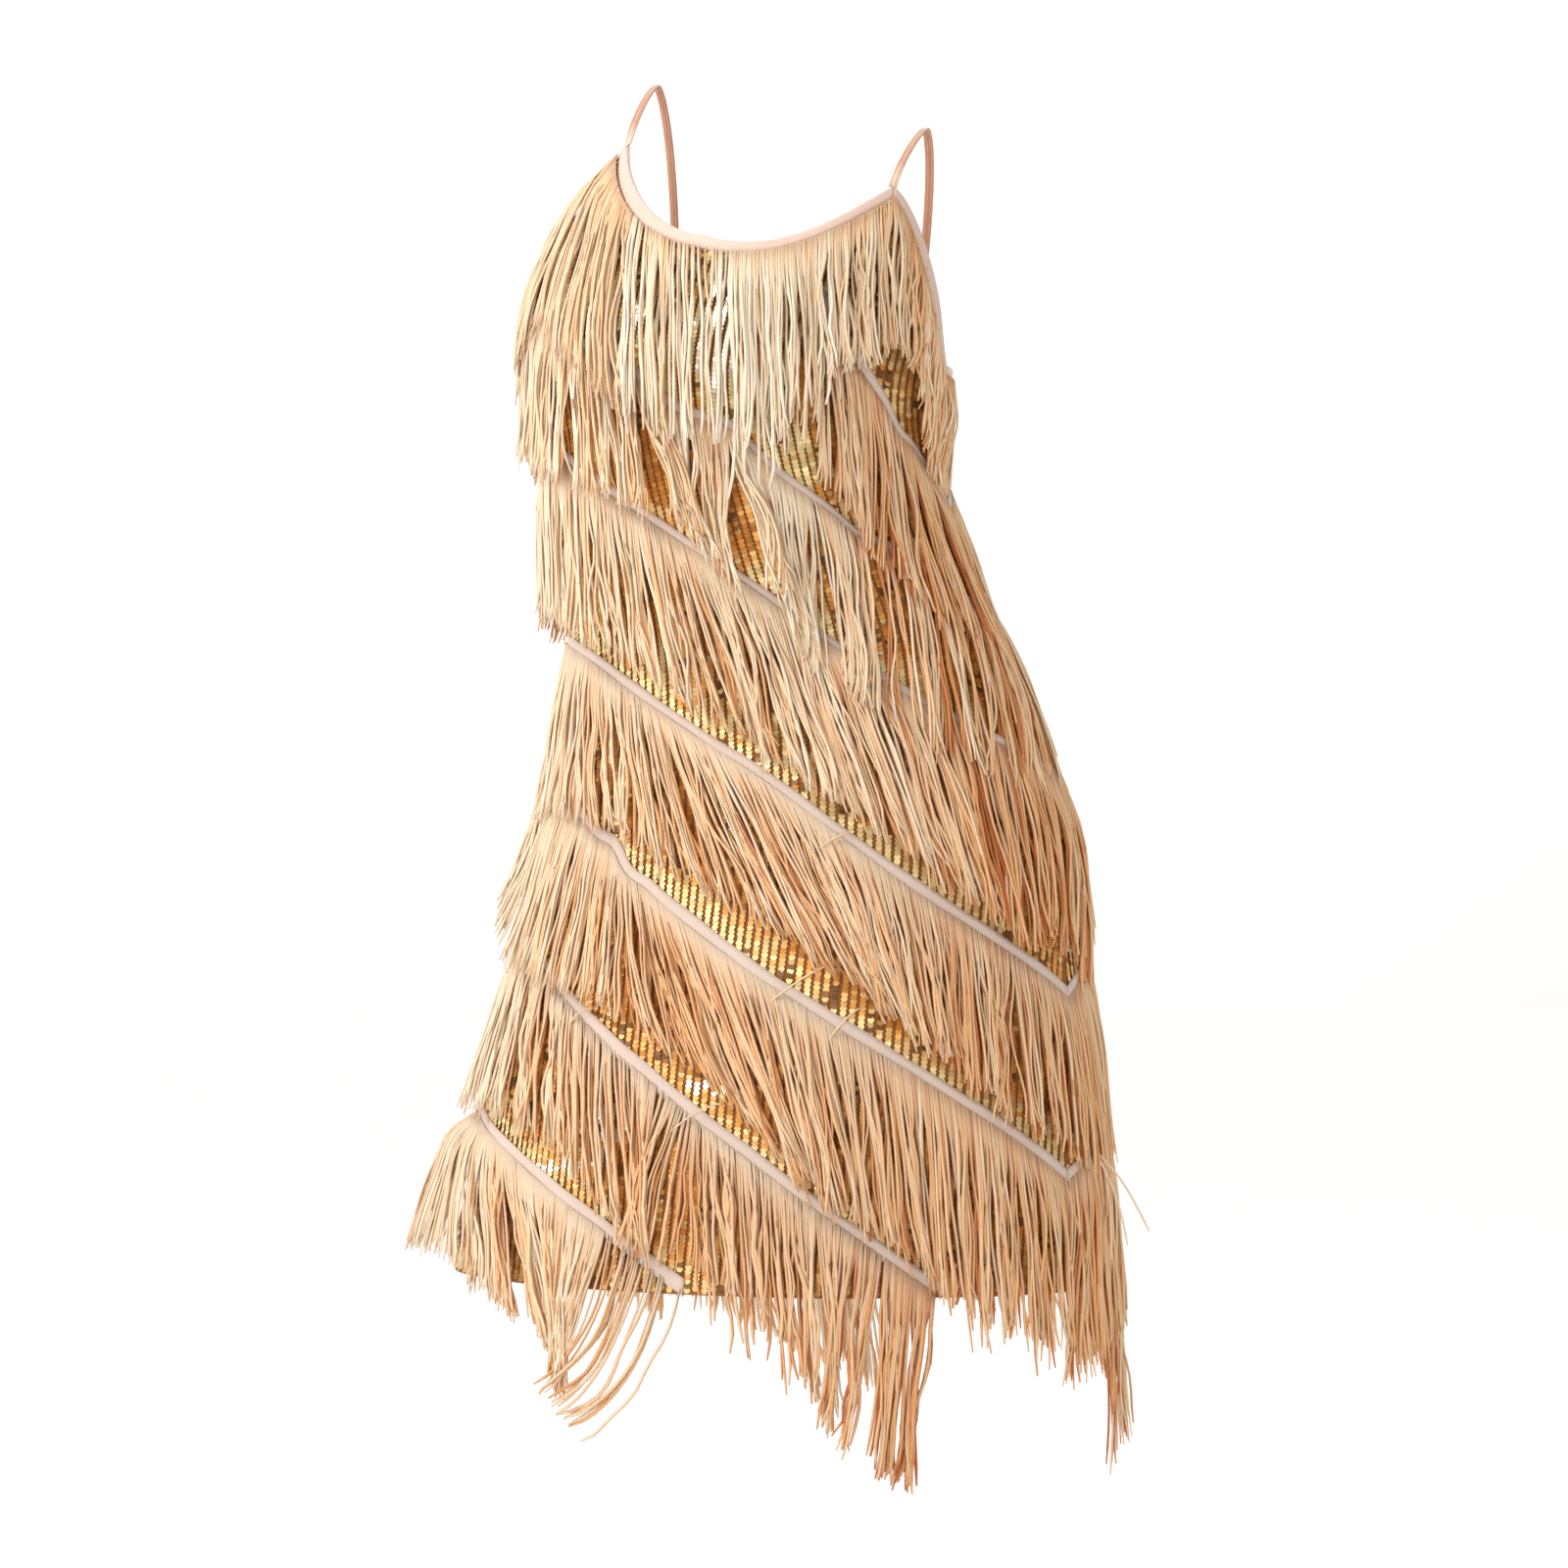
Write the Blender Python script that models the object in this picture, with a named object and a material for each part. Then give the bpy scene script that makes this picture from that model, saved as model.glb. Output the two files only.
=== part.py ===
"""Fringe latin dance dress, worn: a sequin shift on thin straps, with sloping rows of fringe.

Metres, +Z up. The dress faces -Y and the wearer's left side is +X. The origin is midway between
the tops of the two straps, where the shoulders carry the dress. Every piece is worked out from
one body surface, which takes an angle round the body and a height. An angle of 0 is the centre
front, 90 the wearer's left side seam, 180 the centre back and -90 or 270 the right side seam.
"""

from collections import namedtuple

import bmesh
import bpy
import numpy as np

for old in list(bpy.data.objects):
    bpy.data.objects.remove(old)

# Cloth and trim
SEAM_GAP = 0.0003  # between pieces that are sewn together
PANEL_WALL = 0.0012
TAPE_WIDTH = 0.009
TAPE_WALL = 0.0010
TAPE_LIFT = 0.0014  # from the panel's outer face to a tape or the head of a fringe
BINDING_WIDTH = 0.008
BINDING_WALL = 0.0010
BINDING_INNER_GAP = 0.0005  # between the panel and the leg of a binding that lies inside it
FRINGE_WALL = 0.0020
FRINGE_FLARE = 0.046  # how far a fringe stands out for each metre that it hangs down
FRINGE_PUFF = 0.0012  # how far a fringe puffs out just below its head
TOP_FRINGE_PUFF = 0.0055  # the top fringe puffs out more, over the first tapes
PUFF_DROP = 0.022  # how far below the head it has done so
STRAP_WIDTH = 0.006
STRAP_WALL = 0.0018

# Edges of the two panels, as heights on the body
NECK_LOW = -0.114
STRAP_POINT_HEIGHT = -0.0545
STRAP_POINT_ANGLE = 54.0
NECK_HALF_WIDTH = 0.101
NECK_ROUNDNESS_RIGHT = 2.8  # powers of the neckline's curve, which is fuller on the right
NECK_ROUNDNESS_LEFT = 2.1
UNDERARM_HEIGHT = -0.168
ARMHOLE_TOP_ROUNDNESS = 1.55  # powers of the armhole's curve: near the strap point
ARMHOLE_FOOT_ROUNDNESS = 1.3  # and at the underarm, where it turns level
BACK_DIP = 0.020  # how much lower the back edge is at its centre than at the side seams
BACK_STRAP_ANGLE = 38.0  # from the centre back
HEM_HEIGHT = -0.834
STRAP_TOP_SPREAD = 0.104  # half the distance between the tops of the straps
STRAP_TOP_TILT = 0.024  # the right strap's top is this much above the origin, the left's below
STRAP_FRONT_ROUNDNESS = 1.2  # powers of the arch over the shoulder
STRAP_BACK_ROUNDNESS = 1.5

# Columns of facets, in degrees from the centre line of a panel
FRONT_COLUMNS = (0, 10, 20, 30, 39, 47, STRAP_POINT_ANGLE, 62, 71, 80.5, 90)
BACK_COLUMNS = (0, 12, 25, 38, 51, 64, 77, 90)
PANEL_ROWS = 18
FRINGE_ROWS = 3
STRAP_STEPS = 14
SHORTEST_COLUMN = 3.0  # degrees: a row that starts nearer to a column than this starts on it

# A level ring of the body: its centre, half width, and depth in front of and behind the centre.
# slope is how much the ring falls for each metre towards the wearer's left, whose shoulder is low.
# twist is how many degrees the side seams have swung round the body, clockwise from above.
Section = namedtuple("Section", "height centre_x centre_y half_width front back slope twist")
SECTIONS = (
    Section(-1.020, -0.014, 0.000, 0.250, 0.166, 0.162, 0.000, 22),
    Section(-0.850, -0.011, 0.000, 0.242, 0.160, 0.156, 0.000, 20),
    Section(-0.765, -0.005, 0.000, 0.234, 0.154, 0.151, 0.000, 17),
    Section(-0.695, 0.000, 0.000, 0.222, 0.149, 0.146, 0.000, 13),
    Section(-0.625, 0.005, 0.002, 0.209, 0.144, 0.142, 0.000, 9),
    Section(-0.555, 0.010, 0.004, 0.199, 0.137, 0.137, 0.005, 4),
    Section(-0.450, 0.005, 0.004, 0.178, 0.122, 0.124, 0.030, 0),
    Section(-0.380, -0.004, 0.002, 0.160, 0.114, 0.104, 0.055, 0),
    Section(-0.320, -0.019, -0.001, 0.152, 0.118, 0.097, 0.085, 0),
    Section(-0.260, -0.030, -0.005, 0.147, 0.127, 0.098, 0.120, 0),
    Section(-0.200, -0.033, -0.007, 0.150, 0.134, 0.101, 0.156, 0),
    Section(-0.160, -0.028, -0.005, 0.150, 0.130, 0.103, 0.182, 0),
    Section(-0.114, -0.017, -0.002, 0.145, 0.120, 0.100, 0.204, 0),
    Section(-0.055, 0.000, 0.002, 0.125, 0.104, 0.090, 0.220, 0),
    Section(0.000, 0.000, 0.000, 0.112, 0.080, 0.080, 0.230, 0),
)

# A sloping row of fringe: the height of its tape at one side seam, a quarter of the way across the
# panel, at the centre, three quarters across and at the other seam; the angles between which it is
# sewn; and how far its fringe hangs. Front rows run from the right seam to the left one, and back
# rows on from the left seam to the right one. A height past an edge only gives the slope there.
Row = namedtuple("Row", "name seam quarter centre far_quarter far_seam start end reach")
FRONT_ROWS = (
    Row("b", 0.152, 0.065, -0.043, -0.165, -0.278, 34, 90, 0.130),
    Row("c", -0.140, -0.180, -0.223, -0.303, -0.368, -76, 90, 0.130),
    Row("d", -0.255, -0.267, -0.330, -0.428, -0.478, -90, 90, 0.130),
    Row("e", -0.384, -0.403, -0.470, -0.565, -0.634, -90, 90, 0.135),
    Row("f", -0.468, -0.504, -0.587, -0.673, -0.757, -90, 90, 0.145),
    Row("g", -0.567, -0.605, -0.686, -0.789, -0.896, -90, 62, 0.150),
    Row("h", -0.712, -0.727, -0.789, -0.893, -1.000, -90, 19, 0.145),
)
BACK_ROWS = (
    Row("b", -0.278, -0.228, -0.165, -0.100, -0.050, 90, 147, 0.130),
    Row("c", -0.368, -0.310, -0.245, -0.190, -0.140, 90, 206, 0.130),
    Row("d", -0.478, -0.418, -0.358, -0.303, -0.255, 90, 270, 0.130),
    Row("e", -0.634, -0.568, -0.500, -0.438, -0.384, 90, 270, 0.135),
    Row("f", -0.757, -0.690, -0.612, -0.535, -0.468, 90, 270, 0.145),
    Row("g", -0.850, -0.790, -0.715, -0.640, -0.567, 108, 270, 0.150),
    Row("h", -0.960, -0.905, -0.845, -0.780, -0.712, 194, 270, 0.145),
)
TOP_REACH = 0.125  # of the fringe that hangs from the neck, armholes and back edge

Finish = namedtuple("Finish", "colour roughness metallic")
FINISHES = {
    "sequin_fabric": Finish((0.62, 0.40, 0.13), 0.30, 0.85),
    "satin": Finish((0.90, 0.68, 0.54), 0.38, 0.0),
    "woven_tape": Finish((0.75, 0.60, 0.48), 0.65, 0.0),
    "fringe_yarn": Finish((0.82, 0.62, 0.38), 0.50, 0.0),
}


def smooth_rows(places, values, at):
    """Values at the places asked for, on the cubic curve that passes through a table's rows."""
    slopes = np.gradient(values, places, axis=0)
    at = np.clip(at, places[0], places[-1])
    i = np.clip(np.searchsorted(places, at) - 1, 0, len(places) - 2)
    width = (places[i + 1] - places[i])[..., None]
    t = (at - places[i])[..., None] / width
    return (
        (2 * t**3 - 3 * t**2 + 1) * values[i]
        + (t**3 - 2 * t**2 + t) * width * slopes[i]
        + (3 * t**2 - 2 * t**3) * values[i + 1]
        + (t**3 - t**2) * width * slopes[i + 1]
    )


TABLE = np.array(SECTIONS)
NARROWEST_DEPTH = min(ring.back for ring in SECTIONS)


def section(height):
    """The columns of the section table at any heights."""
    return np.moveaxis(smooth_rows(TABLE[:, 0], TABLE[:, 1:], height), -1, 0)


def on_body(turn, height):
    """A point of the body: a ring of half ellipses, front and back, laid at the section's slope.
    The turn round the ring is in radians."""
    centre_x, centre_y, half_width, front, back, slope, _ = section(height)
    depth = np.where(np.cos(turn) > 0, front, back)
    across = half_width * np.sin(turn)
    return np.stack([centre_x + across, centre_y - depth * np.cos(turn), height - slope * across], -1)


def body_point(turn, height, proud=0.0):
    """on_body, moved out by proud along the surface's normal. The turn is in degrees."""
    turn, height, proud = np.broadcast_arrays(np.radians(turn), height, proud)
    step = 1e-4
    round_the_body = on_body(turn + step, height) - on_body(turn - step, height)
    up_the_body = on_body(turn, height + step) - on_body(turn, height - step)
    normal = np.cross(round_the_body, up_the_body)
    normal /= np.linalg.norm(normal, axis=-1, keepdims=True)
    return on_body(turn, height) + normal * proud[..., None]


def turned(angle, height):
    """Where an angle on the panels lies round the body, after their twist."""
    return angle - section(height)[-1]


def panel_point(angle, height, proud=0.0):
    """A point given by its angle on the panels, which is 90 at the left side seam at any height."""
    return body_point(turned(angle, height), height, proud)


def from_back(angle):
    """Degrees from the centre back to the nearer side seam."""
    return np.abs(np.asarray(angle, float) - 180.0)


def front_top(angle):
    """Height of the front panel's edge: the neckline's curve over its width between the strap
    points, then the armhole's curve down to the underarm at the seam."""
    angle = np.asarray(angle, float)
    roundness = np.where(angle < 0, NECK_ROUNDNESS_RIGHT, NECK_ROUNDNESS_LEFT)
    neck = np.full(angle.shape, NECK_LOW)
    for _ in range(12):  # the width and the height depend on each other, and settle together
        width = np.abs(on_body(np.radians(angle), neck)[..., 0]) / NECK_HALF_WIDTH
        neck = NECK_LOW + (STRAP_POINT_HEIGHT - NECK_LOW) * np.minimum(width, 1.0) ** roundness
    past = np.clip((np.abs(angle) - STRAP_POINT_ANGLE) / (90.0 - STRAP_POINT_ANGLE), 0, 1)
    down = 1.0 - (1.0 - past**ARMHOLE_TOP_ROUNDNESS) ** ARMHOLE_FOOT_ROUNDNESS
    armhole = STRAP_POINT_HEIGHT + (UNDERARM_HEIGHT - STRAP_POINT_HEIGHT) * down
    return np.where(np.abs(angle) < STRAP_POINT_ANGLE, neck, armhole)


def back_top(angle):
    """Height of the back panel's edge, which dips towards its centre."""
    return UNDERARM_HEIGHT - BACK_DIP * np.cos(np.radians(from_back(angle))) ** 2


def tape_height(row, angle):
    """Height of the middle of a row's tape, through its five heights."""
    first = -90.0 if row in FRONT_ROWS else 90.0
    places = first + 45.0 * np.arange(5)
    heights = np.array([row.seam, row.quarter, row.centre, row.far_quarter, row.far_seam])
    return smooth_rows(places, heights[:, None], np.asarray(angle, float))[..., 0]


def columns(half, centre, start, end):
    """The facet columns of a panel between two angles. Those at a side seam stop half a gap
    short of it, and the two ends are columns of their own."""
    both = centre + np.array(sorted({-c for c in half} | set(half)), float)
    inside = both[(both > start + SHORTEST_COLUMN) & (both < end - SHORTEST_COLUMN)]
    short_of_seam = np.degrees(SEAM_GAP / 2 / NARROWEST_DEPTH)
    first = start + (short_of_seam if start % 180 == 90 else 0)
    last = end - (short_of_seam if end % 180 == 90 else 0)
    return np.concatenate([[first], inside, [last]])


def front_columns(start=-90.0, end=90.0):
    return columns(FRONT_COLUMNS, 0.0, start, end)


def back_columns(start=90.0, end=270.0):
    return columns(BACK_COLUMNS, 180.0, start, end)


def make_object(name, points, faces, finish):
    """One closed object with its faces pointing out."""
    mesh = bpy.data.meshes.new(name)
    mesh.from_pydata(points.tolist(), [], faces)
    closed = bmesh.new()
    closed.from_mesh(mesh)
    bmesh.ops.triangulate(closed, faces=closed.faces)
    bmesh.ops.recalc_face_normals(closed, faces=closed.faces)
    closed.to_mesh(mesh)
    closed.free()
    mesh.materials.append(materials[finish])
    mesh.shade_smooth()
    piece = bpy.data.objects.new(name, mesh)
    bpy.context.scene.collection.objects.link(piece)
    return piece


def swept(name, rings, finish):
    """A bar whose cross-sections are rings[step, corner], closed by a face at each end."""
    steps, corners = rings.shape[:2]
    index = np.arange(steps * corners).reshape(steps, corners)
    ahead = np.roll(index, -1, axis=1)
    sides = np.stack([index[:-1], index[1:], ahead[1:], ahead[:-1]], -1).reshape(-1, 4)
    faces = sides.tolist() + [index[0].tolist(), index[-1].tolist()]
    return make_object(name, rings.reshape(-1, 3), faces, finish)


def wall(name, outer, inner, finish):
    """Cloth between two grids of points [row, column], closed all round its edge."""
    rows, cols = outer.shape[:2]
    index = np.arange(rows * cols).reshape(rows, cols)
    quads = np.stack([index[:-1, :-1], index[1:, :-1], index[1:, 1:], index[:-1, 1:]], -1)
    quads = quads.reshape(-1, 4)
    edge = np.concatenate([index[0, :-1], index[:-1, -1], index[-1, :0:-1], index[:0:-1, 0]])
    after = np.roll(edge, -1)
    behind = rows * cols
    rim = np.stack([edge, after, after + behind, edge + behind], -1)
    faces = quads.tolist() + (quads[:, ::-1] + behind).tolist() + rim.tolist()
    points = np.concatenate([outer.reshape(-1, 3), inner.reshape(-1, 3)])
    return make_object(name, points, faces, finish)


def panel(name, angles, top):
    """Sequin fabric from its top edge to the hem. Its first row of facets is the binding's."""
    bound = top - binding_leg(angles, top)
    down = np.linspace(0, 1, PANEL_ROWS)[:, None]
    heights = np.concatenate([top[None], bound + (HEM_HEIGHT - bound) * down])
    outer = panel_point(angles, heights)
    inner = panel_point(angles, heights, -PANEL_WALL)
    wall(name, outer, inner, "sequin_fabric")


def steepness(angles, heights):
    """How much longer than it is wide a step along an edge is, which keeps a band's width even
    where the edge runs steeply."""
    points = panel_point(angles, heights)
    along = np.gradient(points, axis=0)
    level = np.hypot(along[:, 0], along[:, 1])
    return np.linalg.norm(along, axis=1) / level


def binding_leg(angles, top):
    """How far below the panel's edge its binding ends. Both edges meet the side seams level."""
    steep = steepness(angles, top)
    steep[[0, -1]] = 1.0
    return BINDING_WIDTH * steep


def binding(name, angles, top, leg):
    """Satin folded over a panel's edge: a U of two legs and the fold above the edge."""
    fold = SEAM_GAP + BINDING_WALL
    out_near, out_far = SEAM_GAP, SEAM_GAP + BINDING_WALL
    in_near = -PANEL_WALL - BINDING_INNER_GAP
    in_far = in_near - BINDING_WALL
    profile = (
        (out_far, -leg),
        (out_far, 0 * leg + fold),
        (in_far, 0 * leg + fold),
        (in_far, -leg),
        (in_near, -leg),
        (in_near, 0 * leg + SEAM_GAP),
        (out_near, 0 * leg + SEAM_GAP),
        (out_near, -leg),
    )
    rings = np.stack([panel_point(angles, top + rise, proud) for proud, rise in profile], 1)
    swept(name, rings, "satin")


def tape(name, row, angles):
    """The woven header of a row, lying on the panel."""
    middle = tape_height(row, angles)
    half = TAPE_WIDTH / 2 * steepness(angles, middle)
    heights = np.stack([middle + half, middle - half])
    outer = panel_point(angles, heights, TAPE_LIFT + TAPE_WALL)
    inner = panel_point(angles, heights, TAPE_LIFT)
    wall(name, outer, inner, "woven_tape")
    return middle - half - SEAM_GAP


def fringe(name, angles, head, reach, puff=FRINGE_PUFF):
    """The space that a row's fringe fills. It hangs straight down from its head, puffs out below
    it, then stands out steadily, so that it passes over the tape and fringe below."""
    drop = np.concatenate([[0.0], np.linspace(PUFF_DROP, reach, FRINGE_ROWS)])[:, None]
    lift = TAPE_LIFT + FRINGE_FLARE * drop + puff * np.minimum(drop / PUFF_DROP, 1.0)
    heights = head - drop
    turns = turned(angles, head)
    outer = body_point(turns, heights, lift + FRINGE_WALL)
    inner = body_point(turns, heights, lift)
    wall(name, outer, inner, "fringe_yarn")


def arch(front, top, back):
    """Points from one end of a strap over the shoulder to the other: two quarters of a rounded
    curve that meet level at the top."""
    turn = np.linspace(0, np.pi / 2, STRAP_STEPS // 2 + 1)[:, None]
    level = np.array([0.0, 1.0, 0.0])
    sine, cosine = np.sin(turn), np.cos(turn)
    power = 2 / STRAP_FRONT_ROUNDNESS
    rise = front + (top - front) * np.where(level, 1 - cosine**power, sine**power)
    power = 2 / STRAP_BACK_ROUNDNESS
    fall = top + (back - top) * np.where(level, sine**power, 1 - cosine**power)
    return np.concatenate([rise, fall[1:]])


def strap_end(angle, height, turn):
    """The four corners of a strap's end, which stands on the binding and follows its edge."""
    step = body_point(angle + 1, height) - body_point(angle - 1, height)
    half = turn * STRAP_WIDTH / np.linalg.norm(step)
    middle = (SEAM_GAP - PANEL_WALL) / 2
    inner, outer = middle - STRAP_WALL / 2, middle + STRAP_WALL / 2
    level = height + BINDING_WALL + 3 * SEAM_GAP
    sides = np.array([angle + half, angle - half, angle - half, angle + half])
    return body_point(sides, level, np.array([inner, inner, outer, outer]))


def strap(name, side):
    """A flat strap from a front strap point over the shoulder to the back edge. Its width
    follows the body at both ends and lies across the shoulder at the top."""
    back_angle = 180.0 - side * BACK_STRAP_ANGLE
    first = strap_end(side * STRAP_POINT_ANGLE, STRAP_POINT_HEIGHT, 1)
    last = strap_end(back_angle, back_top(back_angle), -1)
    top = np.array([side * STRAP_TOP_SPREAD, 0.0, -side * STRAP_TOP_TILT])
    path = arch(first.mean(axis=0), top, last.mean(axis=0))
    share = np.linspace(-1, 1, len(path))[:, None]
    end_width = np.where(share < 0, first[0] - first[1], last[0] - last[1])
    widths = np.array([STRAP_WIDTH, 0.0, 0.0]) * (1 - share**2) + end_width * share**2
    along = np.gradient(path, axis=0)
    along /= np.linalg.norm(along, axis=1, keepdims=True)
    widths -= along * np.sum(widths * along, axis=1, keepdims=True)
    widths *= STRAP_WIDTH / 2 / np.linalg.norm(widths, axis=1, keepdims=True)
    depths = np.cross(along, widths) * (STRAP_WALL / STRAP_WIDTH)
    corners = (widths + depths, depths - widths, -widths - depths, widths - depths)
    rings = np.stack([path + corner for corner in corners], 1)
    rings[0], rings[-1] = first, last
    swept(name, rings, "satin")


def make_materials():
    made = {}
    for name, finish in FINISHES.items():
        material = bpy.data.materials.new(name)
        material.use_nodes = True
        shader = material.node_tree.nodes["Principled BSDF"]
        shader.inputs["Base Color"].default_value = (*finish.colour, 1.0)
        shader.inputs["Roughness"].default_value = finish.roughness
        shader.inputs["Metallic"].default_value = finish.metallic
        made[name] = material
    return made


def make_bodice():
    """The two panels and the satin that finishes their top edges."""
    panel("front_panel", front_columns(), front_top(front_columns()))
    panel("back_panel", back_columns(), back_top(back_columns()))
    edges = {
        "neck_binding": (-STRAP_POINT_ANGLE, STRAP_POINT_ANGLE),
        "armhole_binding_right": (-90.0, -STRAP_POINT_ANGLE),
        "armhole_binding_left": (STRAP_POINT_ANGLE, 90.0),
    }
    whole = front_columns()
    leg = binding_leg(whole, front_top(whole))
    between = np.degrees(SEAM_GAP / NARROWEST_DEPTH)
    for name, (start, end) in edges.items():
        part = (whole > start - 1) & (whole < end + 1)
        angles = whole[part]
        angles[0] += between if start != -90.0 else 0.0
        angles[-1] -= between if end != 90.0 else 0.0
        binding(name, angles, front_top(whole[part]), leg[part])
    angles = back_columns()
    edge = back_top(angles)
    binding("back_binding", angles, edge, binding_leg(angles, edge))


def make_fringes():
    """The top fringe of each panel, then its sloping rows."""
    sides = (
        ("front", front_columns, front_top, FRONT_ROWS),
        ("back", back_columns, back_top, BACK_ROWS),
    )
    for side, cut, top, rows in sides:
        angles = cut()
        edge = top(angles)
        head = edge - binding_leg(angles, edge) - SEAM_GAP
        fringe(f"fringe_{side}_a", angles, head, TOP_REACH, TOP_FRINGE_PUFF)
        for row in rows:
            angles = cut(row.start, row.end)
            head = tape(f"tape_{side}_{row.name}", row, angles)
            fringe(f"fringe_{side}_{row.name}", angles, head, row.reach)


materials = make_materials()
make_bodice()
strap("strap_right", -1)
strap("strap_left", 1)
make_fringes()
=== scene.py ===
"""Looks of the fringe latin dance dress: sequin panels, satin trim and sloping rows of fringe.

Metres, +Z up. The dress faces -Y and the wearer's left side is +X. Every piece is worked out from
the same body surface as the frame. It takes an angle round the body and a height: 0 is the centre
front, 90 the wearer's left side seam, 180 the centre back and -90 or 270 the right side seam.
"""

from collections import namedtuple
from functools import partial

import bpy
import numpy as np
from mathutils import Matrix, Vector


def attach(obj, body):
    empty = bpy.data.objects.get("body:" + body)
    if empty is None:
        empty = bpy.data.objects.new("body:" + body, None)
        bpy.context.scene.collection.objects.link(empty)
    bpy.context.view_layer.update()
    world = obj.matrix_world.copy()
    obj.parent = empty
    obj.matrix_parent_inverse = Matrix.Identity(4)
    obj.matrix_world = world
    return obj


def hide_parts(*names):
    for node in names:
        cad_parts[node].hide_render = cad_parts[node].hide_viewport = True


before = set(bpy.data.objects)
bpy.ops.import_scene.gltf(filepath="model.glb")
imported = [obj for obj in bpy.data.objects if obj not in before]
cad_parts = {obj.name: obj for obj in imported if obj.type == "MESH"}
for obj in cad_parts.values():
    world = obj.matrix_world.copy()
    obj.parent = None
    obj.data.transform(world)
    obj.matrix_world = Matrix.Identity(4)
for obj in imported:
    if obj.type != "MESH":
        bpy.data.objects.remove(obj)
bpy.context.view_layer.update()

# Cloth and trim, as in the frame
PANEL_WALL = 0.0012
TAPE_WIDTH = 0.009
TAPE_LIFT = 0.0014
BINDING_WIDTH = 0.008
STRAP_WIDTH = 0.006
STRAP_ROUND = 0.0125  # once round a strap
FRINGE_FLARE = 0.046  # how much further out a strand hangs for each metre that it falls
PUFF_DROP = 0.022  # fall over which a puff of strands comes to stand out
NECK_LOW = -0.114
STRAP_POINT_HEIGHT = -0.0545
STRAP_POINT_ANGLE = 54.0
NECK_HALF_WIDTH = 0.101
NECK_ROUNDNESS_RIGHT = 2.8
NECK_ROUNDNESS_LEFT = 2.1
UNDERARM_HEIGHT = -0.168
ARMHOLE_TOP_ROUNDNESS = 1.55
ARMHOLE_FOOT_ROUNDNESS = 1.3
BACK_DIP = 0.020
BACK_STRAP_ANGLE = 38.0
HIP_HEIGHT = -0.50
HEM_HEIGHT = -0.834
STRAP_TOP_SPREAD = 0.104
STRAP_TOP_TILT = 0.024
STRAP_FRONT_ROUNDNESS = 1.2
STRAP_BACK_ROUNDNESS = 1.5
SEAM_GAP = 0.0003
SEAM_ANGLE = 0.1  # degrees that cloth stops short of a side seam, or a tape of its row's end
RIPPLE = 0.0016
RIPPLE_GROWTH = 0.33  # below the hip, to where the skirt's folds are full

Section = namedtuple("Section", "height centre_x centre_y half_width front back slope twist")
SECTIONS = (
    Section(-1.020, -0.014, 0.000, 0.250, 0.166, 0.162, 0.000, 22),
    Section(-0.850, -0.011, 0.000, 0.242, 0.160, 0.156, 0.000, 20),
    Section(-0.765, -0.005, 0.000, 0.234, 0.154, 0.151, 0.000, 17),
    Section(-0.695, 0.000, 0.000, 0.222, 0.149, 0.146, 0.000, 13),
    Section(-0.625, 0.005, 0.002, 0.209, 0.144, 0.142, 0.000, 9),
    Section(-0.555, 0.010, 0.004, 0.199, 0.137, 0.137, 0.005, 4),
    Section(-0.450, 0.005, 0.004, 0.178, 0.122, 0.124, 0.030, 0),
    Section(-0.380, -0.004, 0.002, 0.160, 0.114, 0.104, 0.055, 0),
    Section(-0.320, -0.019, -0.001, 0.152, 0.118, 0.097, 0.085, 0),
    Section(-0.260, -0.030, -0.005, 0.147, 0.127, 0.098, 0.120, 0),
    Section(-0.200, -0.033, -0.007, 0.150, 0.134, 0.101, 0.156, 0),
    Section(-0.160, -0.028, -0.005, 0.150, 0.130, 0.103, 0.182, 0),
    Section(-0.114, -0.017, -0.002, 0.145, 0.120, 0.100, 0.204, 0),
    Section(-0.055, 0.000, 0.002, 0.125, 0.104, 0.090, 0.220, 0),
    Section(0.000, 0.000, 0.000, 0.112, 0.080, 0.080, 0.230, 0),
)

# A sloping row of fringe: its tape's height at five even angles from one side seam of its panel
# to the other, and the angles between which it is sewn.
Row = namedtuple("Row", "name seam quarter centre far_quarter far_seam start end")
FRONT_ROWS = (
    Row("b", 0.152, 0.065, -0.043, -0.165, -0.278, 34, 90),
    Row("c", -0.140, -0.180, -0.223, -0.303, -0.368, -76, 90),
    Row("d", -0.255, -0.267, -0.330, -0.428, -0.478, -90, 90),
    Row("e", -0.384, -0.403, -0.470, -0.565, -0.634, -90, 90),
    Row("f", -0.468, -0.504, -0.587, -0.673, -0.757, -90, 90),
    Row("g", -0.567, -0.605, -0.686, -0.789, -0.896, -90, 62),
    Row("h", -0.712, -0.727, -0.789, -0.893, -1.000, -90, 19),
)
BACK_ROWS = (
    Row("b", -0.278, -0.228, -0.165, -0.100, -0.050, 90, 147),
    Row("c", -0.368, -0.310, -0.245, -0.190, -0.140, 90, 206),
    Row("d", -0.478, -0.418, -0.358, -0.303, -0.255, 90, 270),
    Row("e", -0.634, -0.568, -0.500, -0.438, -0.384, 90, 270),
    Row("f", -0.757, -0.690, -0.612, -0.535, -0.468, 90, 270),
    Row("g", -0.850, -0.790, -0.715, -0.640, -0.567, 108, 270),
    Row("h", -0.960, -0.905, -0.845, -0.780, -0.712, 194, 270),
)

# A soft bump along a row: where it is, how far it spreads in degrees and how much it adds.
Bump = namedtuple("Bump", "side row angle spread amount")

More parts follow.
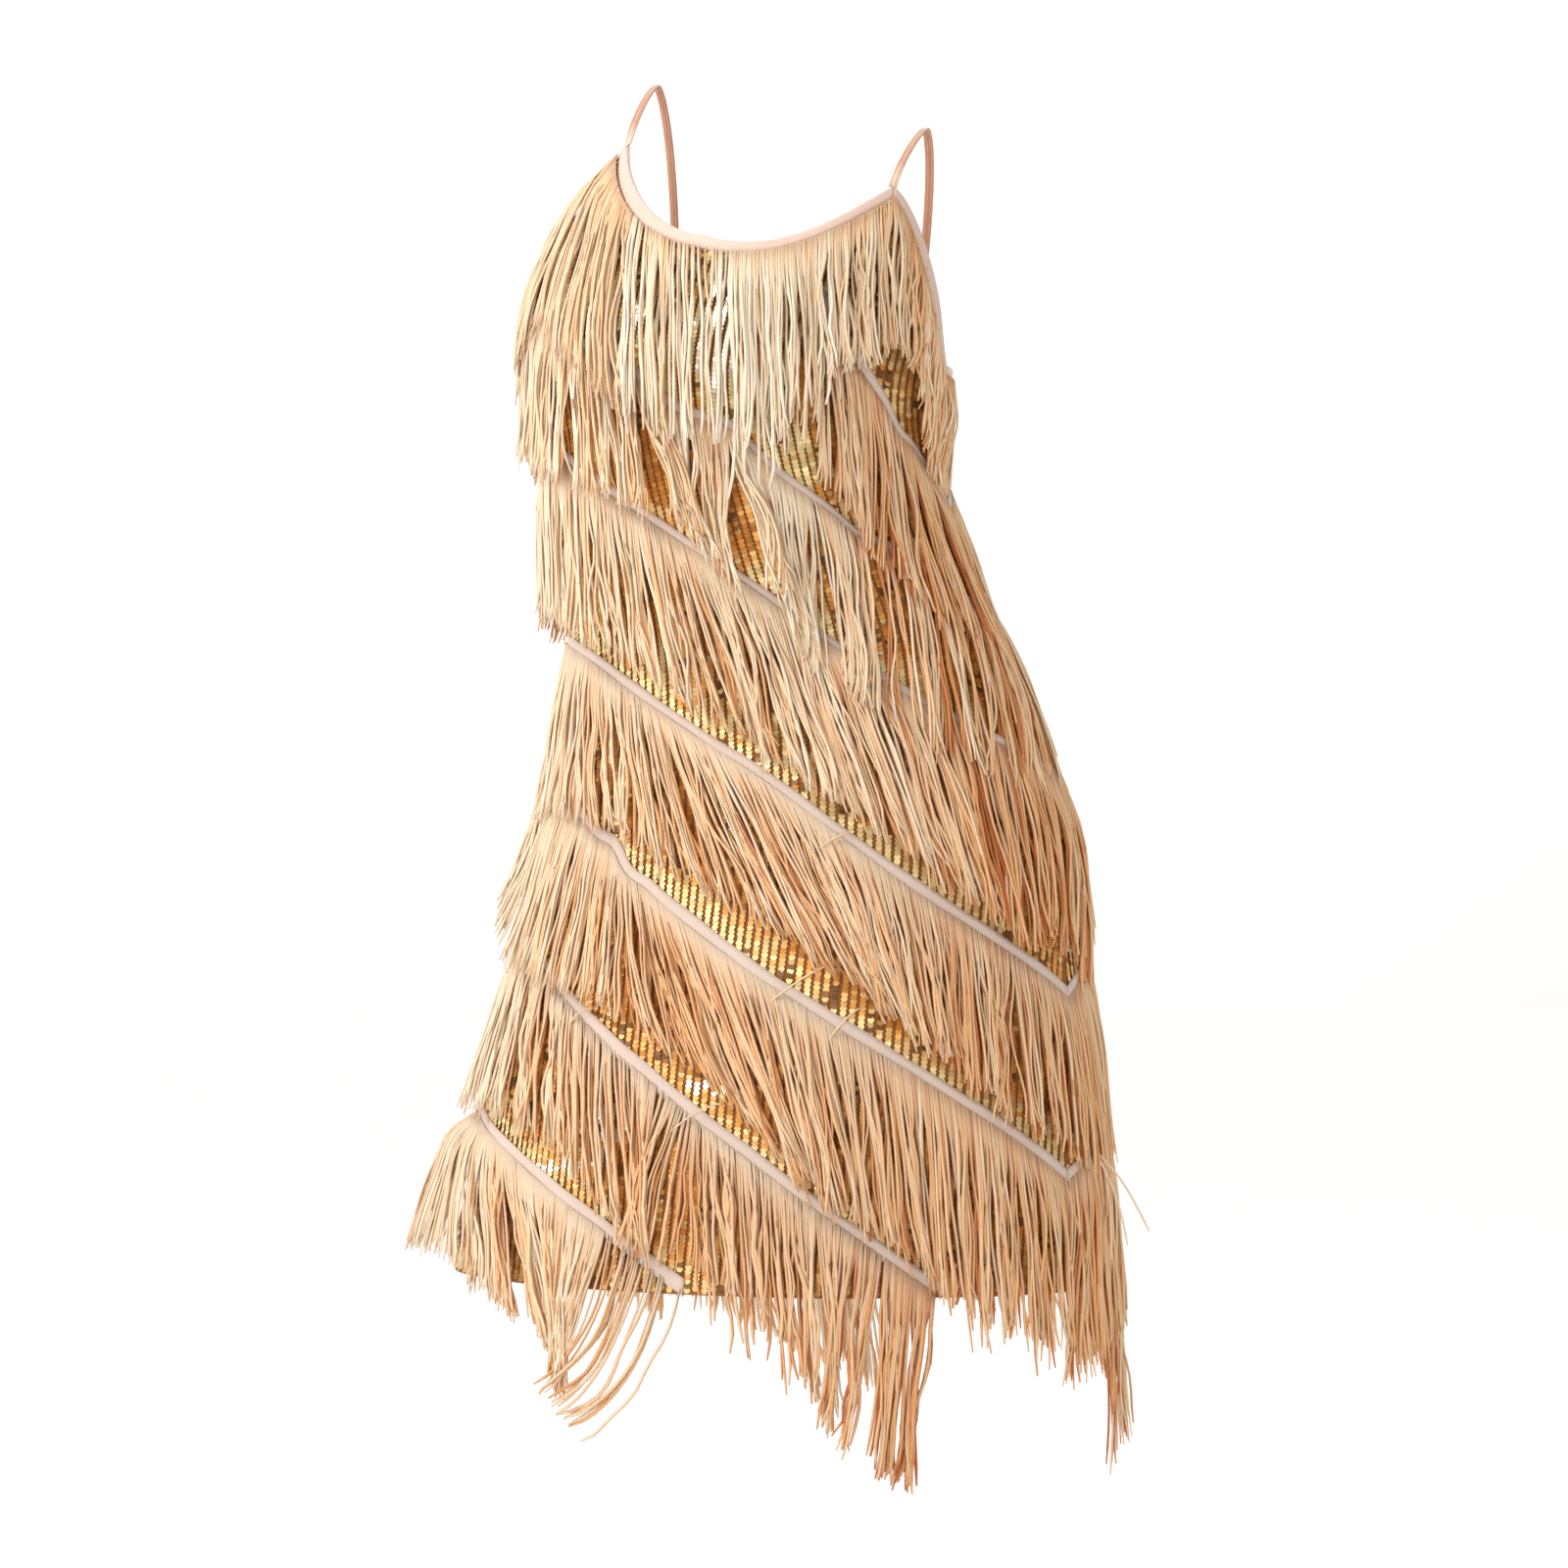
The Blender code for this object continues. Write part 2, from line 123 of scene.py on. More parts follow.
# Where a tape was sewn a little above or below its line.
WAVERS = (
    Bump("front", "b", 67, 4, -0.0060),
    Bump("front", "c", 1, 6, -0.0060),
    Bump("front", "c", 17, 6, 0.0095),
    Bump("front", "c", 45, 5, -0.0065),
    Bump("front", "f", -26.5, 3.4, 0.0040),
    Bump("front", "f", -19.3, 3.4, -0.0030),
    Bump("back", "d", 150, 7, 0.0050),
    Bump("back", "e", 205, 5, -0.0050),
    Bump("back", "f", 170, 4, 0.0060),
    Bump("back", "g", 228, 6, -0.0050),
)

# How the strands of a row hang, at angles along it: (angle, lean, swing, reach). Lean is degrees
# from the plumb line, positive towards larger angles. Swing is how far their tips stand out past
# a plain hang, and reach is how long they are.
FRONT_HANGS = {
    "a": (
        (-90, -4, 0.000, 0.102), (-60, 5, 0.002, 0.118), (-52, 17, 0.001, 0.132),
        (-38, 22, 0.001, 0.130), (-22, 19, 0.000, 0.127), (-8, 16, 0.001, 0.126),
        (0, 12, 0.002, 0.128), (10, 5, 0.002, 0.128), (20, 2, 0.002, 0.134),
        (28, -1, 0.003, 0.110), (45, -11, 0.003, 0.104), (58, -12, 0.002, 0.100),
        (67, -11, -0.002, 0.086), (75, -9, -0.009, 0.096), (90, -10, -0.016, 0.096),
    ),
    "b": (
        (34, 2, 0.002, 0.126), (49, 5, 0.001, 0.138), (64, 3, 0.001, 0.137),
        (79, 4, -0.003, 0.134), (90, 1, -0.009, 0.112),
    ),
    "c": (
        (-76, 0, 0.004, 0.101), (-61, 0, 0.004, 0.096), (-46, -1, 0.001, 0.094),
        (-31, 8, 0.001, 0.091), (-16, 9, 0.000, 0.090), (-1, 11, 0.001, 0.094),
        (14, 13, 0.002, 0.114), (36, 10, 0.000, 0.128), (52, 4, 0.000, 0.129),
        (66, 0, -0.001, 0.136), (80, -8, -0.004, 0.128), (90, -11, -0.007, 0.122),
    ),
    "d": (
        (-90, 1, -0.003, 0.112), (-60, 6, -0.001, 0.112), (-38, 8, 0.003, 0.120),
        (-22, 12, 0.002, 0.123), (-8, 17, 0.000, 0.138), (22, 17, 0.001, 0.145),
        (38, 15, 0.001, 0.147), (52, 10, 0.002, 0.145), (68, 2, 0.000, 0.138),
        (90, -4, -0.006, 0.126),
    ),
    "e": (
        (-90, -12, 0.004, 0.116), (-75, -10, 0.001, 0.117), (-60, 2, 0.001, 0.118),
        (-42, 12, 0.006, 0.114), (-33, 16, 0.006, 0.115), (-22, 21, 0.002, 0.132),
        (-8, 26, 0.000, 0.152), (8, 25, 0.001, 0.152), (22, 19, 0.002, 0.135),
        (38, 10, 0.003, 0.116), (52, 4, 0.003, 0.110), (68, 0, 0.000, 0.114),
        (90, 4, -0.006, 0.118),
    ),
    "f": (
        (-90, -8, 0.022, 0.092), (-80, -11, 0.020, 0.090), (-72, -10, 0.018, 0.092),
        (-64, -9, 0.014, 0.099), (-56, -8, 0.008, 0.116), (-45, -4, 0.005, 0.118),
        (-30, 1, 0.005, 0.108), (-24, 5, 0.006, 0.106), (-21, 12, 0.006, 0.114),
        (-15, 20, 0.004, 0.132), (-8, 23, 0.002, 0.148), (0, 23, 0.001, 0.156),
        (8, 21, 0.002, 0.152), (22, 13, 0.002, 0.137), (38, 7, 0.002, 0.134),
        (52, 4, 0.002, 0.142), (68, 1, 0.001, 0.136), (90, 6, -0.003, 0.115),
    ),
    "g": (
        (-90, -6, 0.014, 0.131), (-75, -2, 0.009, 0.135), (-60, 2, 0.005, 0.128),
        (-45, 3, 0.003, 0.114), (-22, 10, 0.003, 0.113), (-8, 10, 0.002, 0.123),
        (0, 4, 0.002, 0.120), (9, -15, -0.001, 0.104), (15, 6, 0.002, 0.113),
        (22, 7, 0.001, 0.110), (38, 0, 0.001, 0.121), (45, -3, 0.002, 0.129),
        (62, -8, 0.002, 0.128),
    ),
    "h": (
        (-90, -4, 0.012, 0.102), (-75, -4, 0.012, 0.101), (-60, 0, 0.010, 0.100),
        (-52, 9, 0.007, 0.099), (-45, 17, 0.004, 0.108), (-38, 20, 0.003, 0.114),
        (-30, 21, 0.003, 0.122), (-22, 18, 0.002, 0.124), (-15, 13, 0.002, 0.122),
        (-8, 5, 0.002, 0.116), (0, -4, 0.003, 0.112), (19, -8, 0.003, 0.118),
    ),
}
BACK_HANGS = {
    "a": (
        (90, -10, -0.016, 0.096), (105, -6, -0.016, 0.096), (120, -4, -0.010, 0.104),
        (140, -1, 0.002, 0.116), (180, 0, 0.001, 0.124), (270, 4, 0.000, 0.104),
    ),
    "b": ((90, 4, -0.009, 0.112), (120, 2, -0.007, 0.125), (147, 1, 0.001, 0.120)),
    "c": ((90, -6, -0.007, 0.124), (140, -3, 0.000, 0.122), (206, 1, 0.001, 0.118)),
    "d": (
        (90, -3, -0.006, 0.126), (91.2, -3, -0.006, 0.158), (96, -3, -0.006, 0.158),
        (112, -5, -0.003, 0.140), (130, -7, 0.001, 0.124), (180, -11, 0.002, 0.124),
        (225, -6, 0.002, 0.122), (270, 2, 0.004, 0.119),
    ),
    "e": (
        (90, 3, -0.006, 0.118), (91.2, 3, -0.006, 0.144), (96, 2, -0.006, 0.146),
        (112, -2, -0.003, 0.128), (130, -6, 0.002, 0.118), (165, -14, 0.003, 0.118),
        (200, -16, 0.003, 0.117), (240, -6, 0.003, 0.114), (270, 6, 0.006, 0.112),
    ),
    "f": (
        (90, -4, -0.003, 0.132), (130, -4, 0.002, 0.140), (170, -13, 0.004, 0.143),
        (210, -11, 0.004, 0.140), (245, 0, 0.008, 0.124), (270, 8, 0.020, 0.092),
    ),
    "g": (
        (108, -3, -0.004, 0.150), (122, -2, 0.000, 0.145), (160, -6, 0.004, 0.138),
        (200, -10, 0.004, 0.132), (240, 2, 0.009, 0.128), (270, 7, 0.018, 0.126),
    ),
    "h": ((194, -6, 0.006, 0.138), (225, -5, 0.006, 0.124), (270, 6, 0.014, 0.104)),
}

# Where the strands of a row stand out further from just under their tape.
PUFFS = (
    Bump("front", "h", -64, 14, 0.017),
    Bump("back", "h", 296, 14, 0.017),
)
ROW_PUFF = 0.0010

# Fall over which leaning strands turn plumb: soon in the front's top fringe, late in the others.
STRAIGHTENS = {"front_a": 0.060}
STRAIGHTENS_LATE = 0.8

# What sets a row's strands apart. Paleness is added to their tone. Parting is how loosely they
# part into clumps: 1 leaves slivers, 2 leaves long gaps. Behind is how much darker the strands
# of the underlayer are painted, as shade. The last is how far their heads are greyed with painted
# shade, where they hang just below their tape or binding.
Habit = namedtuple("Habit", "paleness parting behind stitched")
HABITS = {
    "a": Habit(0.04, 0.42, 0.02, 0.15),
    "b": Habit(0.03, 1.0, 0.34, 0.6),
    "c": Habit(0.05, 1.2, 0.34, 0.4),
    "d": Habit(0.0, 1.0, 0.34, 0.8),
    "e": Habit(-0.03, 0.8, 0.34, 1.0),
    "f": Habit(-0.03, 0.8, 0.34, 1.0),
    "g": Habit(-0.03, 0.85, 0.34, 1.0),
    "h": Habit(0.03, 0.7, 0.34, 1.0),
}

# Painted light and shade along a row: where its strands are paler, as painted light, and darker,
# as painted shade, where the amount is below 0.
PAINTED_LIGHT_AND_SHADE = (
    Bump("front", "a", 4, 30, 0.38),
    Bump("front", "a", -65, 22, -0.12),
    Bump("front", "a", 52, 12, 0.15),
    Bump("front", "b", 75, 30, -0.10),
    Bump("front", "c", 24, 14, 0.28),
    Bump("front", "c", -30, 40, 0.10),
    Bump("front", "c", 60, 4, 0.15),
    Bump("front", "d", 24, 20, 0.10),
    Bump("front", "d", -80, 60, 0.24),
    Bump("front", "d", 72, 22, -0.20),
    Bump("front", "d", 0, 20, 0.05),
    Bump("front", "e", -80, 40, 0.22),
    Bump("front", "f", -10, 30, -0.10),
    Bump("front", "f", 62, 25, -0.06),
    Bump("front", "f", -75, 40, 0.26),
    Bump("front", "g", 0, 25, -0.05),
    Bump("front", "g", -75, 50, 0.24),
    Bump("front", "g", 59, 8, -0.30),
    Bump("front", "h", -75, 50, 0.10),
)

# Bunches that the strands of a row gather into: the angles they hang from, the share of the
# usual number of yarns there, how much of their spread is lost by the tips, how far the tips
# move along the row, outwards and up, and how their length compares with their neighbours'.
UNMOVED = (0.0, 0.0, 0.0, 0.0, 1.0)
Bunch = namedtuple("Bunch", "side row start end share gather along out up longer", defaults=UNMOVED)
BUNCHES = (
    Bunch("front", "a", -90, -34, 1.15),
    Bunch("front", "a", -34, -26, 1.15),
    Bunch("front", "a", -26, -18, 0.55, 0.25),
    Bunch("front", "a", -18, -12, 0.85),
    Bunch("front", "a", -12, 0.5, 0.66, 0.05),
    Bunch("front", "a", 0.5, 4.5, 0.42, 0.45),
    Bunch("front", "a", 4.5, 9.5, 0.36, 0.45),
    Bunch("front", "a", 10, 40, 1.25),
    Bunch("front", "b", 63, 66, 0.35),
    Bunch("front", "c", -60, -24, 1.1, 0.07, -0.002),
    Bunch("front", "c", -24, -9, 1.1, 0.18),
    Bunch("front", "c", -9, 15.5, 1.2, 0.46, 0.005),
    Bunch("front", "c", 15.5, 34, 1.2, 0.25, 0.004),
    Bunch("front", "c", 46, 56, 0.38, 0.10, longer=0.98),
    Bunch("front", "c", 56, 63, 1.3, 0.40, out=0.002, longer=1.02),
    Bunch("front", "c", 70, 73.5, 0.25),
    Bunch("front", "g", -36, -4, 0.72, 0.05),
    Bunch("front", "g", 11, 33, 1.0, longer=0.90),
    Bunch("front", "g", 33, 38.5, 1.2, 0.62, out=0.004, longer=0.98),
    Bunch("front", "g", 38.5, 46.3, 1.2, 0.68, -0.003, 0.004),
    Bunch("front", "g", 46.3, 51.7, 0.6, 0.86, -0.007, 0.006),
    Bunch("front", "g", 51.7, 62, 1.6, 0.14, -0.001, 0.006),
    Bunch("front", "h", -90, -58, 1.4),
    Bunch("front", "h", -58, -31, 1.7),
    Bunch("front", "h", -31, 2, 1.5, 0.22, out=0.002),
    Bunch("front", "h", 2, 12, 0.38, 0.20, -0.034, 0.008, 0.014, 1.12),
    Bunch("front", "h", 12, 19, 0.32, 0.20, -0.046, 0.010, 0.020, 1.16),
    Bunch("back", "g", 108, 124, 0.6, out=0.006, longer=0.84),
    Bunch("back", "g", 122, 190, 0.45, longer=0.82),
    Bunch("back", "h", 194, 236, 0.50, longer=0.84),
)

# Where a share of a row's strands were cut longer, up to so many times.
Longer = namedtuple("Longer", "side row start end share times")
LONGER = (
    Longer("front", "a", -40, 6, 0.30, 1.12),
    Longer("front", "a", 10, 36, 0.35, 1.35),
    Longer("front", "b", 34, 90, 0.12, 1.08),
    Longer("front", "c", 20, 90, 0.15, 1.10),
    Longer("front", "f", 60, 90, 0.20, 1.15),
    Longer("front", "g", 8, 33, 0.25, 1.40),
)

# Places where sequins lie turned to the light: how far each spreads in degrees and in height,
# and the share of its sequins that do.
# Besides being turned, the sequins that glint get the palest tone, a painted highlight
Glint = namedtuple("Glint", "side angle height spread tall share")
GLINTS = (
    Glint("front", -11.5, -0.160, 4, 0.018, 0.9),
    Glint("front", -3.5, -0.163, 3, 0.022, 0.9),
    Glint("front", 13, -0.172, 6, 0.042, 1.0),
    Glint("front", 14, -0.700, 7, 0.010, 0.5),
    Glint("front", -2, -0.720, 9, 0.012, 0.6),
    Glint("front", 32, -0.655, 4, 0.010, 0.6),
    Glint("front", -18, -0.670, 5, 0.010, 0.6),
    Glint("front", -16, -0.755, 3, 0.008, 0.7),
    Glint("front", -8, -0.745, 5, 0.012, 0.5),
    Glint("front", 0, -0.790, 6, 0.010, 0.5),
    Glint("back", 150, -0.430, 8, 0.012, 0.5),
    Glint("back", 215, -0.560, 8, 0.012, 0.5),
)

# The way that a sequin faces in a glint.
TOWARDS_LIGHT = (-0.15, -0.945, 0.29)

# Loose ends of thread: where each starts above its row's tape and ends below it, and how far
# its tip stands out.
ThreadEnd = namedtuple("ThreadEnd", "side row start end above below out")
THREAD_ENDS = (
    ThreadEnd("front", "e", 27.5, 20, 0.004, 0.028, 0.000),
    ThreadEnd("front", "f", 33, 19.6, 0.040, 0.018, 0.000),
    ThreadEnd("front", "f", 38, 33, 0.018, 0.015, 0.000),
    ThreadEnd("front", "g", -16, -21.5, 0.010, 0.013, 0.000),
    ThreadEnd("front", "g", 17.5, 9, 0.018, 0.022, 0.000),
    ThreadEnd("back", "e", 150, 158, 0.015, 0.020, 0.000),
    ThreadEnd("back", "f", 214, 205, 0.012, 0.020, 0.000),
    ThreadEnd("back", "f", 102, 104, -0.004, 0.068, 0.022),
    ThreadEnd("back", "f", 103, 105, -0.004, 0.060, 0.036),
    ThreadEnd("back", "f", 104, 102, -0.004, 0.074, 0.013),
)

THREAD_WIDTH = 0.0016
THREAD_LIFT = 0.0035
THREAD_ARCH = 0.004  # how much higher its middle stands
THREAD_TONE = 0.92

# Yarns
YARN_WIDTH = 0.0024
YARN_DEPTH = 0.7  # of its width
YARN_LIFT = 0.0017  # of its head, past the inside of the tape
YARN_STEPS = 12
YARNS_PER_METRE = 880
UNDERLAYER = 0.34  # share of the yarns that hang behind the others
UNDERLAYER_LIFT = -0.0010
OVERLAYER_LIFT = 0.0022  # at most
TAPE_COVERS = 0.0026  # of a strand's head
BINDING_COVERS = 0.001

# Clumps of yarns. Narrowing is the share of its width that a clump loses by the tips. The rest is
# how widely chance spreads them. A length is a share of itself, a speed is radians down a strand.
BIG_CLUMP = 0.0085
SMALL_CLUMP = 0.0028
NARROWING = 0.62
MOST_NARROWING = 0.85
SMALL_NARROWING = 0.45
CLUMP_SWAY = 0.0036
CLUMP_LIFT = 0.0012
CLUMP_LENGTH = 0.02
YARN_LENGTH = 0.028
CLUMP_WANDER, CLUMP_WANDER_SPEED = 0.0016, 7.0
YARN_WANDER, YARN_WANDER_SPEED = 0.0007, 13.0
LIFT_WANDER, LIFT_WANDER_SPEED = 0.0010, 8.0
TIP_SPREAD = 0.0007
TIP_CURL = 0.0016
CURL_START = 0.82  # of the way down
WANDER_STARTS = 6.28  # anywhere in a wave

# Tones of the strands: 0 is deep orange-brown, 1 is pale and more than 1 is cream. A fall is how
# far down a strand its painted shade or its painted grey tells.
YARN_TONE = 0.76
YARN_TONE_CHANCE = 0.14
CLUMP_TONE_CHANCE = 0.05
DARKEST, PALEST = 0.05, 1.25
# Painted shade: strands darker round the wearer's left, which lies away from the key lamp, and darker
# again there in the underlayer
LEFT_DARKER = 0.10
LEFT_DARKER_BEHIND = 0.18
ROW_SHADE = 0.11
ROW_SHADE_FADE = 0.012
BINDING_SHADE = 0.26
BINDING_SHADE_FALL = 0.014
PAINTED_GREY_FALL = 0.022
# Painted highlight: how far the strands round the front's right side, where the key lamp lights them,
# are greyed
RIGHT_GREYED = 0.42

# Sequins, and how far the fringe hides them
SEQUIN_SIZE = 0.0049
SEQUIN_COLUMNS = 0.0064  # from one column of sequins to the next
SEQUIN_DROP = 0.0031  # from one sequin to the next in its column
SEQUIN_LIFT = 0.00115
SEQUIN_POINT = 0.00035  # how far the point behind a sequin lies from its rim
SEQUIN_PATCH = 0.055  # size of the patches where sequins tip and turn alike
SEQUIN_TIP = 8  # degrees
SEQUIN_TONE = 0.72
# Tones of the patches of painted orange and nearly black reflections
ORANGE_TONE, DARK_TONE = 0.42, 0.08
FRINGE_COVERS = 0.105  # how far below a row its strands hide the cloth
FRINGE_COVERS_FADE = 0.02
# How much darker a sequin is painted where the fringe shades it
BEHIND_FRINGE_DARKER = 0.34

# Bindings, straps and tapes
BINDING_THICK = 0.0010
BINDING_SHORT = 0.12  # degrees that the bindings stop short of a strap point
STRAP_START = 0.0010  # above the panel's edge
STRAP_HALF_WIDTH = 0.55  # of its width
STRAP_HALF_DEPTH = 0.0010
STRAP_GROOVE = 0.45  # of its depth
TAPE_THICK = 0.0010
TAPE_DOME = 0.0004
TAPE_SWELL = 0.0003  # how far it rises and falls along its length
TAPE_WAVE, TAPE_FINE_WAVE = 0.00035, 0.0002  # of its edges
TAPE_STEPS = 1.3  # a degree

# Lamps: degrees round from the front and up, and metres away from the dress.
Lamp = namedtuple("Lamp", "name azimuth elevation distance size watts")
LAMPS = (
    Lamp("key", -44, 34, 2.1, 1.1, 23),
    Lamp("fill", 6, 6, 2.8, 0.9, 15),
)
LAMPS_AIM = (0, 0, -0.45)
CAMERA_AIM = (-0.00325, -0.0013, -0.486)
FLOOR_HALF_WIDTH = 30.0
FLOOR_HEIGHT = -1.42
SKY_BRIGHTEST = (-0.60, 0.40, 0.69)
SKY_SLOPE, SKY_LEVEL = 0.60, 0.71

LEVEL = np.array([1.0, 1.0, 0.0])  # leaves out a vector's height
ONCE_ROUND = 6.2832


def smooth_rows(places, values, at):
    """Values at the places asked for, on the cubic curve that passes through a table's rows."""
    slopes = np.gradient(values, places, axis=0)
    at = np.clip(at, places[0], places[-1])
    i = np.clip(np.searchsorted(places, at) - 1, 0, len(places) - 2)
    width = (places[i + 1] - places[i])[..., None]
    t = (at - places[i])[..., None] / width
    return (
        (2 * t**3 - 3 * t**2 + 1) * values[i]
        + (t**3 - 2 * t**2 + t) * width * slopes[i]
        + (3 * t**2 - 2 * t**3) * values[i + 1]
        + (t**3 - t**2) * width * slopes[i + 1]
    )


def columns_of(table, at):
    """The columns of a table at the places asked for. Its first column holds its rows' places."""
    return np.moveaxis(smooth_rows(table[:, 0], table[:, 1:], at), -1, 0)


def unit(vectors):
    """Vectors scaled to a length of 1."""
    return vectors / np.linalg.norm(vectors, axis=-1, keepdims=True)


def ease(share):
    """A soft start and finish between 0 and 1."""
    share = np.clip(share, 0, 1)
    return share * share * (3 - 2 * share)


def bell(at, spread):
    """1 at 0, falling softly to both sides over the spread."""
    return np.exp(-((at / spread) ** 2))


def of_row(table, side, name):
    """The entries of a table that belong to one row."""
    return [entry for entry in table if (entry.side, entry.row) == (side, name)]


def with_bumps(values, table, side, name, angles):
    """Values along a row, with the soft bumps that a table gives it added."""
    for bump in of_row(table, side, name):
        values = values + bump.amount * bell(angles - bump.angle, bump.spread)
    return values


def between(angles, entry):
    """Which angles lie between an entry's start and its end."""
    return (angles > entry.start) & (angles < entry.end)


def section(height):
    """The columns of the section table at any heights."""
    return columns_of(np.array(SECTIONS), height)


def on_body(turn, height):
    """A point of the body: a ring of half ellipses, front and back, laid at the section's slope.
    The turn round the ring is in radians."""
    centre_x, centre_y, half_width, front, back, slope, _ = section(height)
    depth = np.where(np.cos(turn) > 0, front, back)
    across = half_width * np.sin(turn)
    return np.stack([centre_x + across, centre_y - depth * np.cos(turn), height - slope * across], -1)


def body_frame(turn, height):
    """The point of the body, the unit vectors there, which run round the body, up it and out of
    it, and how many metres a radian of turn is."""
    turn, height = np.broadcast_arrays(np.radians(turn), height)
    step = 1e-4
    round_it = on_body(turn + step, height) - on_body(turn - step, height)
    up_it = on_body(turn, height + step) - on_body(turn, height - step)
    out = np.cross(round_it, up_it)
    speed = np.linalg.norm(round_it, axis=-1) / (2 * step)
    return on_body(turn, height), unit(round_it), unit(up_it), unit(out), speed


def ripple(angle, height):
    """Soft folds of the skirt: three waves round the body that grow from the hip to the hem."""
    turn = np.radians(angle)
    waves = np.sin(5 * turn + 0.7) + 0.7 * np.sin(8 * turn - 1.1) + 0.4 * np.sin(13 * turn + 2.0)
    grow = np.clip((HIP_HEIGHT - height) / RIPPLE_GROWTH, 0, 1)
    return RIPPLE * grow**1.5 * (waves - 0.6)


def body_point(turn, height, proud=0.0):
    """A point that stands proud of the body along its normal. The turn is in degrees."""
    turn, height, proud = np.broadcast_arrays(turn, height, proud)
    point, _, _, out, _ = body_frame(turn, height)
    lift = proud + ripple(turn, height)
    return point + out * lift[..., None]


def twist(height):
    """How many degrees the panels have swung round the body at any height."""
    return section(height)[-1]


def turned(angle, height):
    """Where an angle on the panels lies round the body, after their twist."""
    return angle - twist(height)


def panel_point(angle, height, proud=0.0):
    """A point given by its angle on the panels, which is 90 at the left side seam at any height."""
    return body_point(turned(angle, height), height, proud)


def front_top(angle):
    """Height of the front panel's edge: the neckline's curve over its width between the strap
    points, then the armhole's curve down to the underarm at the seam. The neckline's height and
    its width there hang together, and a few rounds settle them."""
    angle = np.asarray(angle, float)
    roundness = np.where(angle < 0, NECK_ROUNDNESS_RIGHT, NECK_ROUNDNESS_LEFT)
    neck = np.full(angle.shape, NECK_LOW)
    for _ in range(12):
        width = np.abs(on_body(np.radians(angle), neck)[..., 0]) / NECK_HALF_WIDTH
        neck = NECK_LOW + (STRAP_POINT_HEIGHT - NECK_LOW) * np.minimum(width, 1.0) ** roundness
    past = np.clip((np.abs(angle) - STRAP_POINT_ANGLE) / (90.0 - STRAP_POINT_ANGLE), 0, 1)
    down = 1.0 - (1.0 - past**ARMHOLE_TOP_ROUNDNESS) ** ARMHOLE_FOOT_ROUNDNESS
    armhole = STRAP_POINT_HEIGHT + (UNDERARM_HEIGHT - STRAP_POINT_HEIGHT) * down
    return np.where(np.abs(angle) < STRAP_POINT_ANGLE, neck, armhole)


def back_top(angle):
    """Height of the back panel's edge, which dips towards its centre."""
    from_back = np.abs(np.asarray(angle, float) - 180.0)
    return UNDERARM_HEIGHT - BACK_DIP * np.cos(np.radians(from_back)) ** 2


# A panel: the angles of its side seams and its centre line, its top edge, its rows and how they
# hang, how far its top fringe puffs out, its cloth's flat size and area, and its seeds of chance.
Panel = namedtuple("Panel", "first last centre top_of rows hangs puff flat area sequin_seed fringe_seed")
PANELS = {
    "front": Panel(
        first=-90.0,
        last=90.0,
        centre=0.0,
        top_of=front_top,
        rows=FRONT_ROWS,
        hangs=FRONT_HANGS,
        puff=0.0045,
        flat=(0.68, 0.80),
        area=0.42,
        sequin_seed=0,
        fringe_seed=100,
    ),
    "back": Panel(
        first=90.0,
        last=270.0,
        centre=180.0,
        top_of=back_top,
        rows=BACK_ROWS,
        hangs=BACK_HANGS,
        puff=0.0005,
        flat=(0.66, 0.68),
        area=0.36,
        sequin_seed=1,
        fringe_seed=200,
    ),
}


def tape_height(side, row, angle):
    """Height of the middle of a row's tape: the smooth curve through its five heights, which are
    at even angles from its panel's first seam, and where it wavers off it."""
    values = np.array([row.seam, row.quarter, row.centre, row.far_quarter, row.far_seam])
    places = PANELS[side].first + 45.0 * np.arange(5)
    height = smooth_rows(places, values[:, None], np.asarray(angle, float))[..., 0]
    return with_bumps(height, WAVERS, side, row.name, angle)


def steepness(angles, heights):
    """How much longer than it is wide a step along an edge is, which keeps a band's width even
    where the edge runs steeply."""
    points = panel_point(angles, heights)
    along = np.gradient(points, axis=0)
    level = np.hypot(along[:, 0], along[:, 1])
    return np.linalg.norm(along, axis=1) / level


def lengths_along(points):
    """How far along a line of points each one is."""
    steps = np.linalg.norm(np.diff(points, axis=0), axis=1)
    return np.concatenate([[0.0], np.cumsum(steps)])


# Meshes


def make_piece(
    name, points, quads, material, slot, replaces=(), triangles=None, uv=None, smooth=True, **values
):
    """One object from arrays: corners of quads and triangles, with a UV for each point in metres
    and named values for each point, such as its tone, where they are given."""
    quads = np.asarray(quads, np.int32).reshape(-1, 4)
    triangles = np.zeros((0, 3), np.int32) if triangles is None else np.asarray(triangles, np.int32)
    corners = np.concatenate([quads.ravel(), triangles.ravel()])
    sizes = np.concatenate([np.full(len(quads), 4), np.full(len(triangles), 3)])
    mesh = bpy.data.meshes.new(name)
    mesh.vertices.add(len(points))
    mesh.vertices.foreach_set("co", np.ascontiguousarray(points, np.float32).ravel())
    mesh.loops.add(len(corners))
    mesh.loops.foreach_set("vertex_index", corners)
    mesh.polygons.add(len(sizes))
    starts = np.concatenate([[0], np.cumsum(sizes)[:-1]])
    mesh.polygons.foreach_set("loop_start", starts.astype(np.int32))
    mesh.polygons.foreach_set("use_smooth", np.full(len(sizes), smooth))
    mesh.update(calc_edges=True)
    if uv is not None:
        layer = mesh.uv_layers.new(name="UVMap")
        layer.data.foreach_set("uv", np.ascontiguousarray(uv[corners], np.float32).ravel())
    for key, value in values.items():
        attribute = mesh.attributes.new(key, "FLOAT", "POINT")
        attribute.data.foreach_set("value", np.ascontiguousarray(value, np.float32))
    mesh.validate()
    mesh.materials.append(material)
    piece = bpy.data.objects.new(name, mesh)
    bpy.context.scene.collection.objects.link(piece)
    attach(piece, "root")
    if replaces:
        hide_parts(*replaces)
    return piece


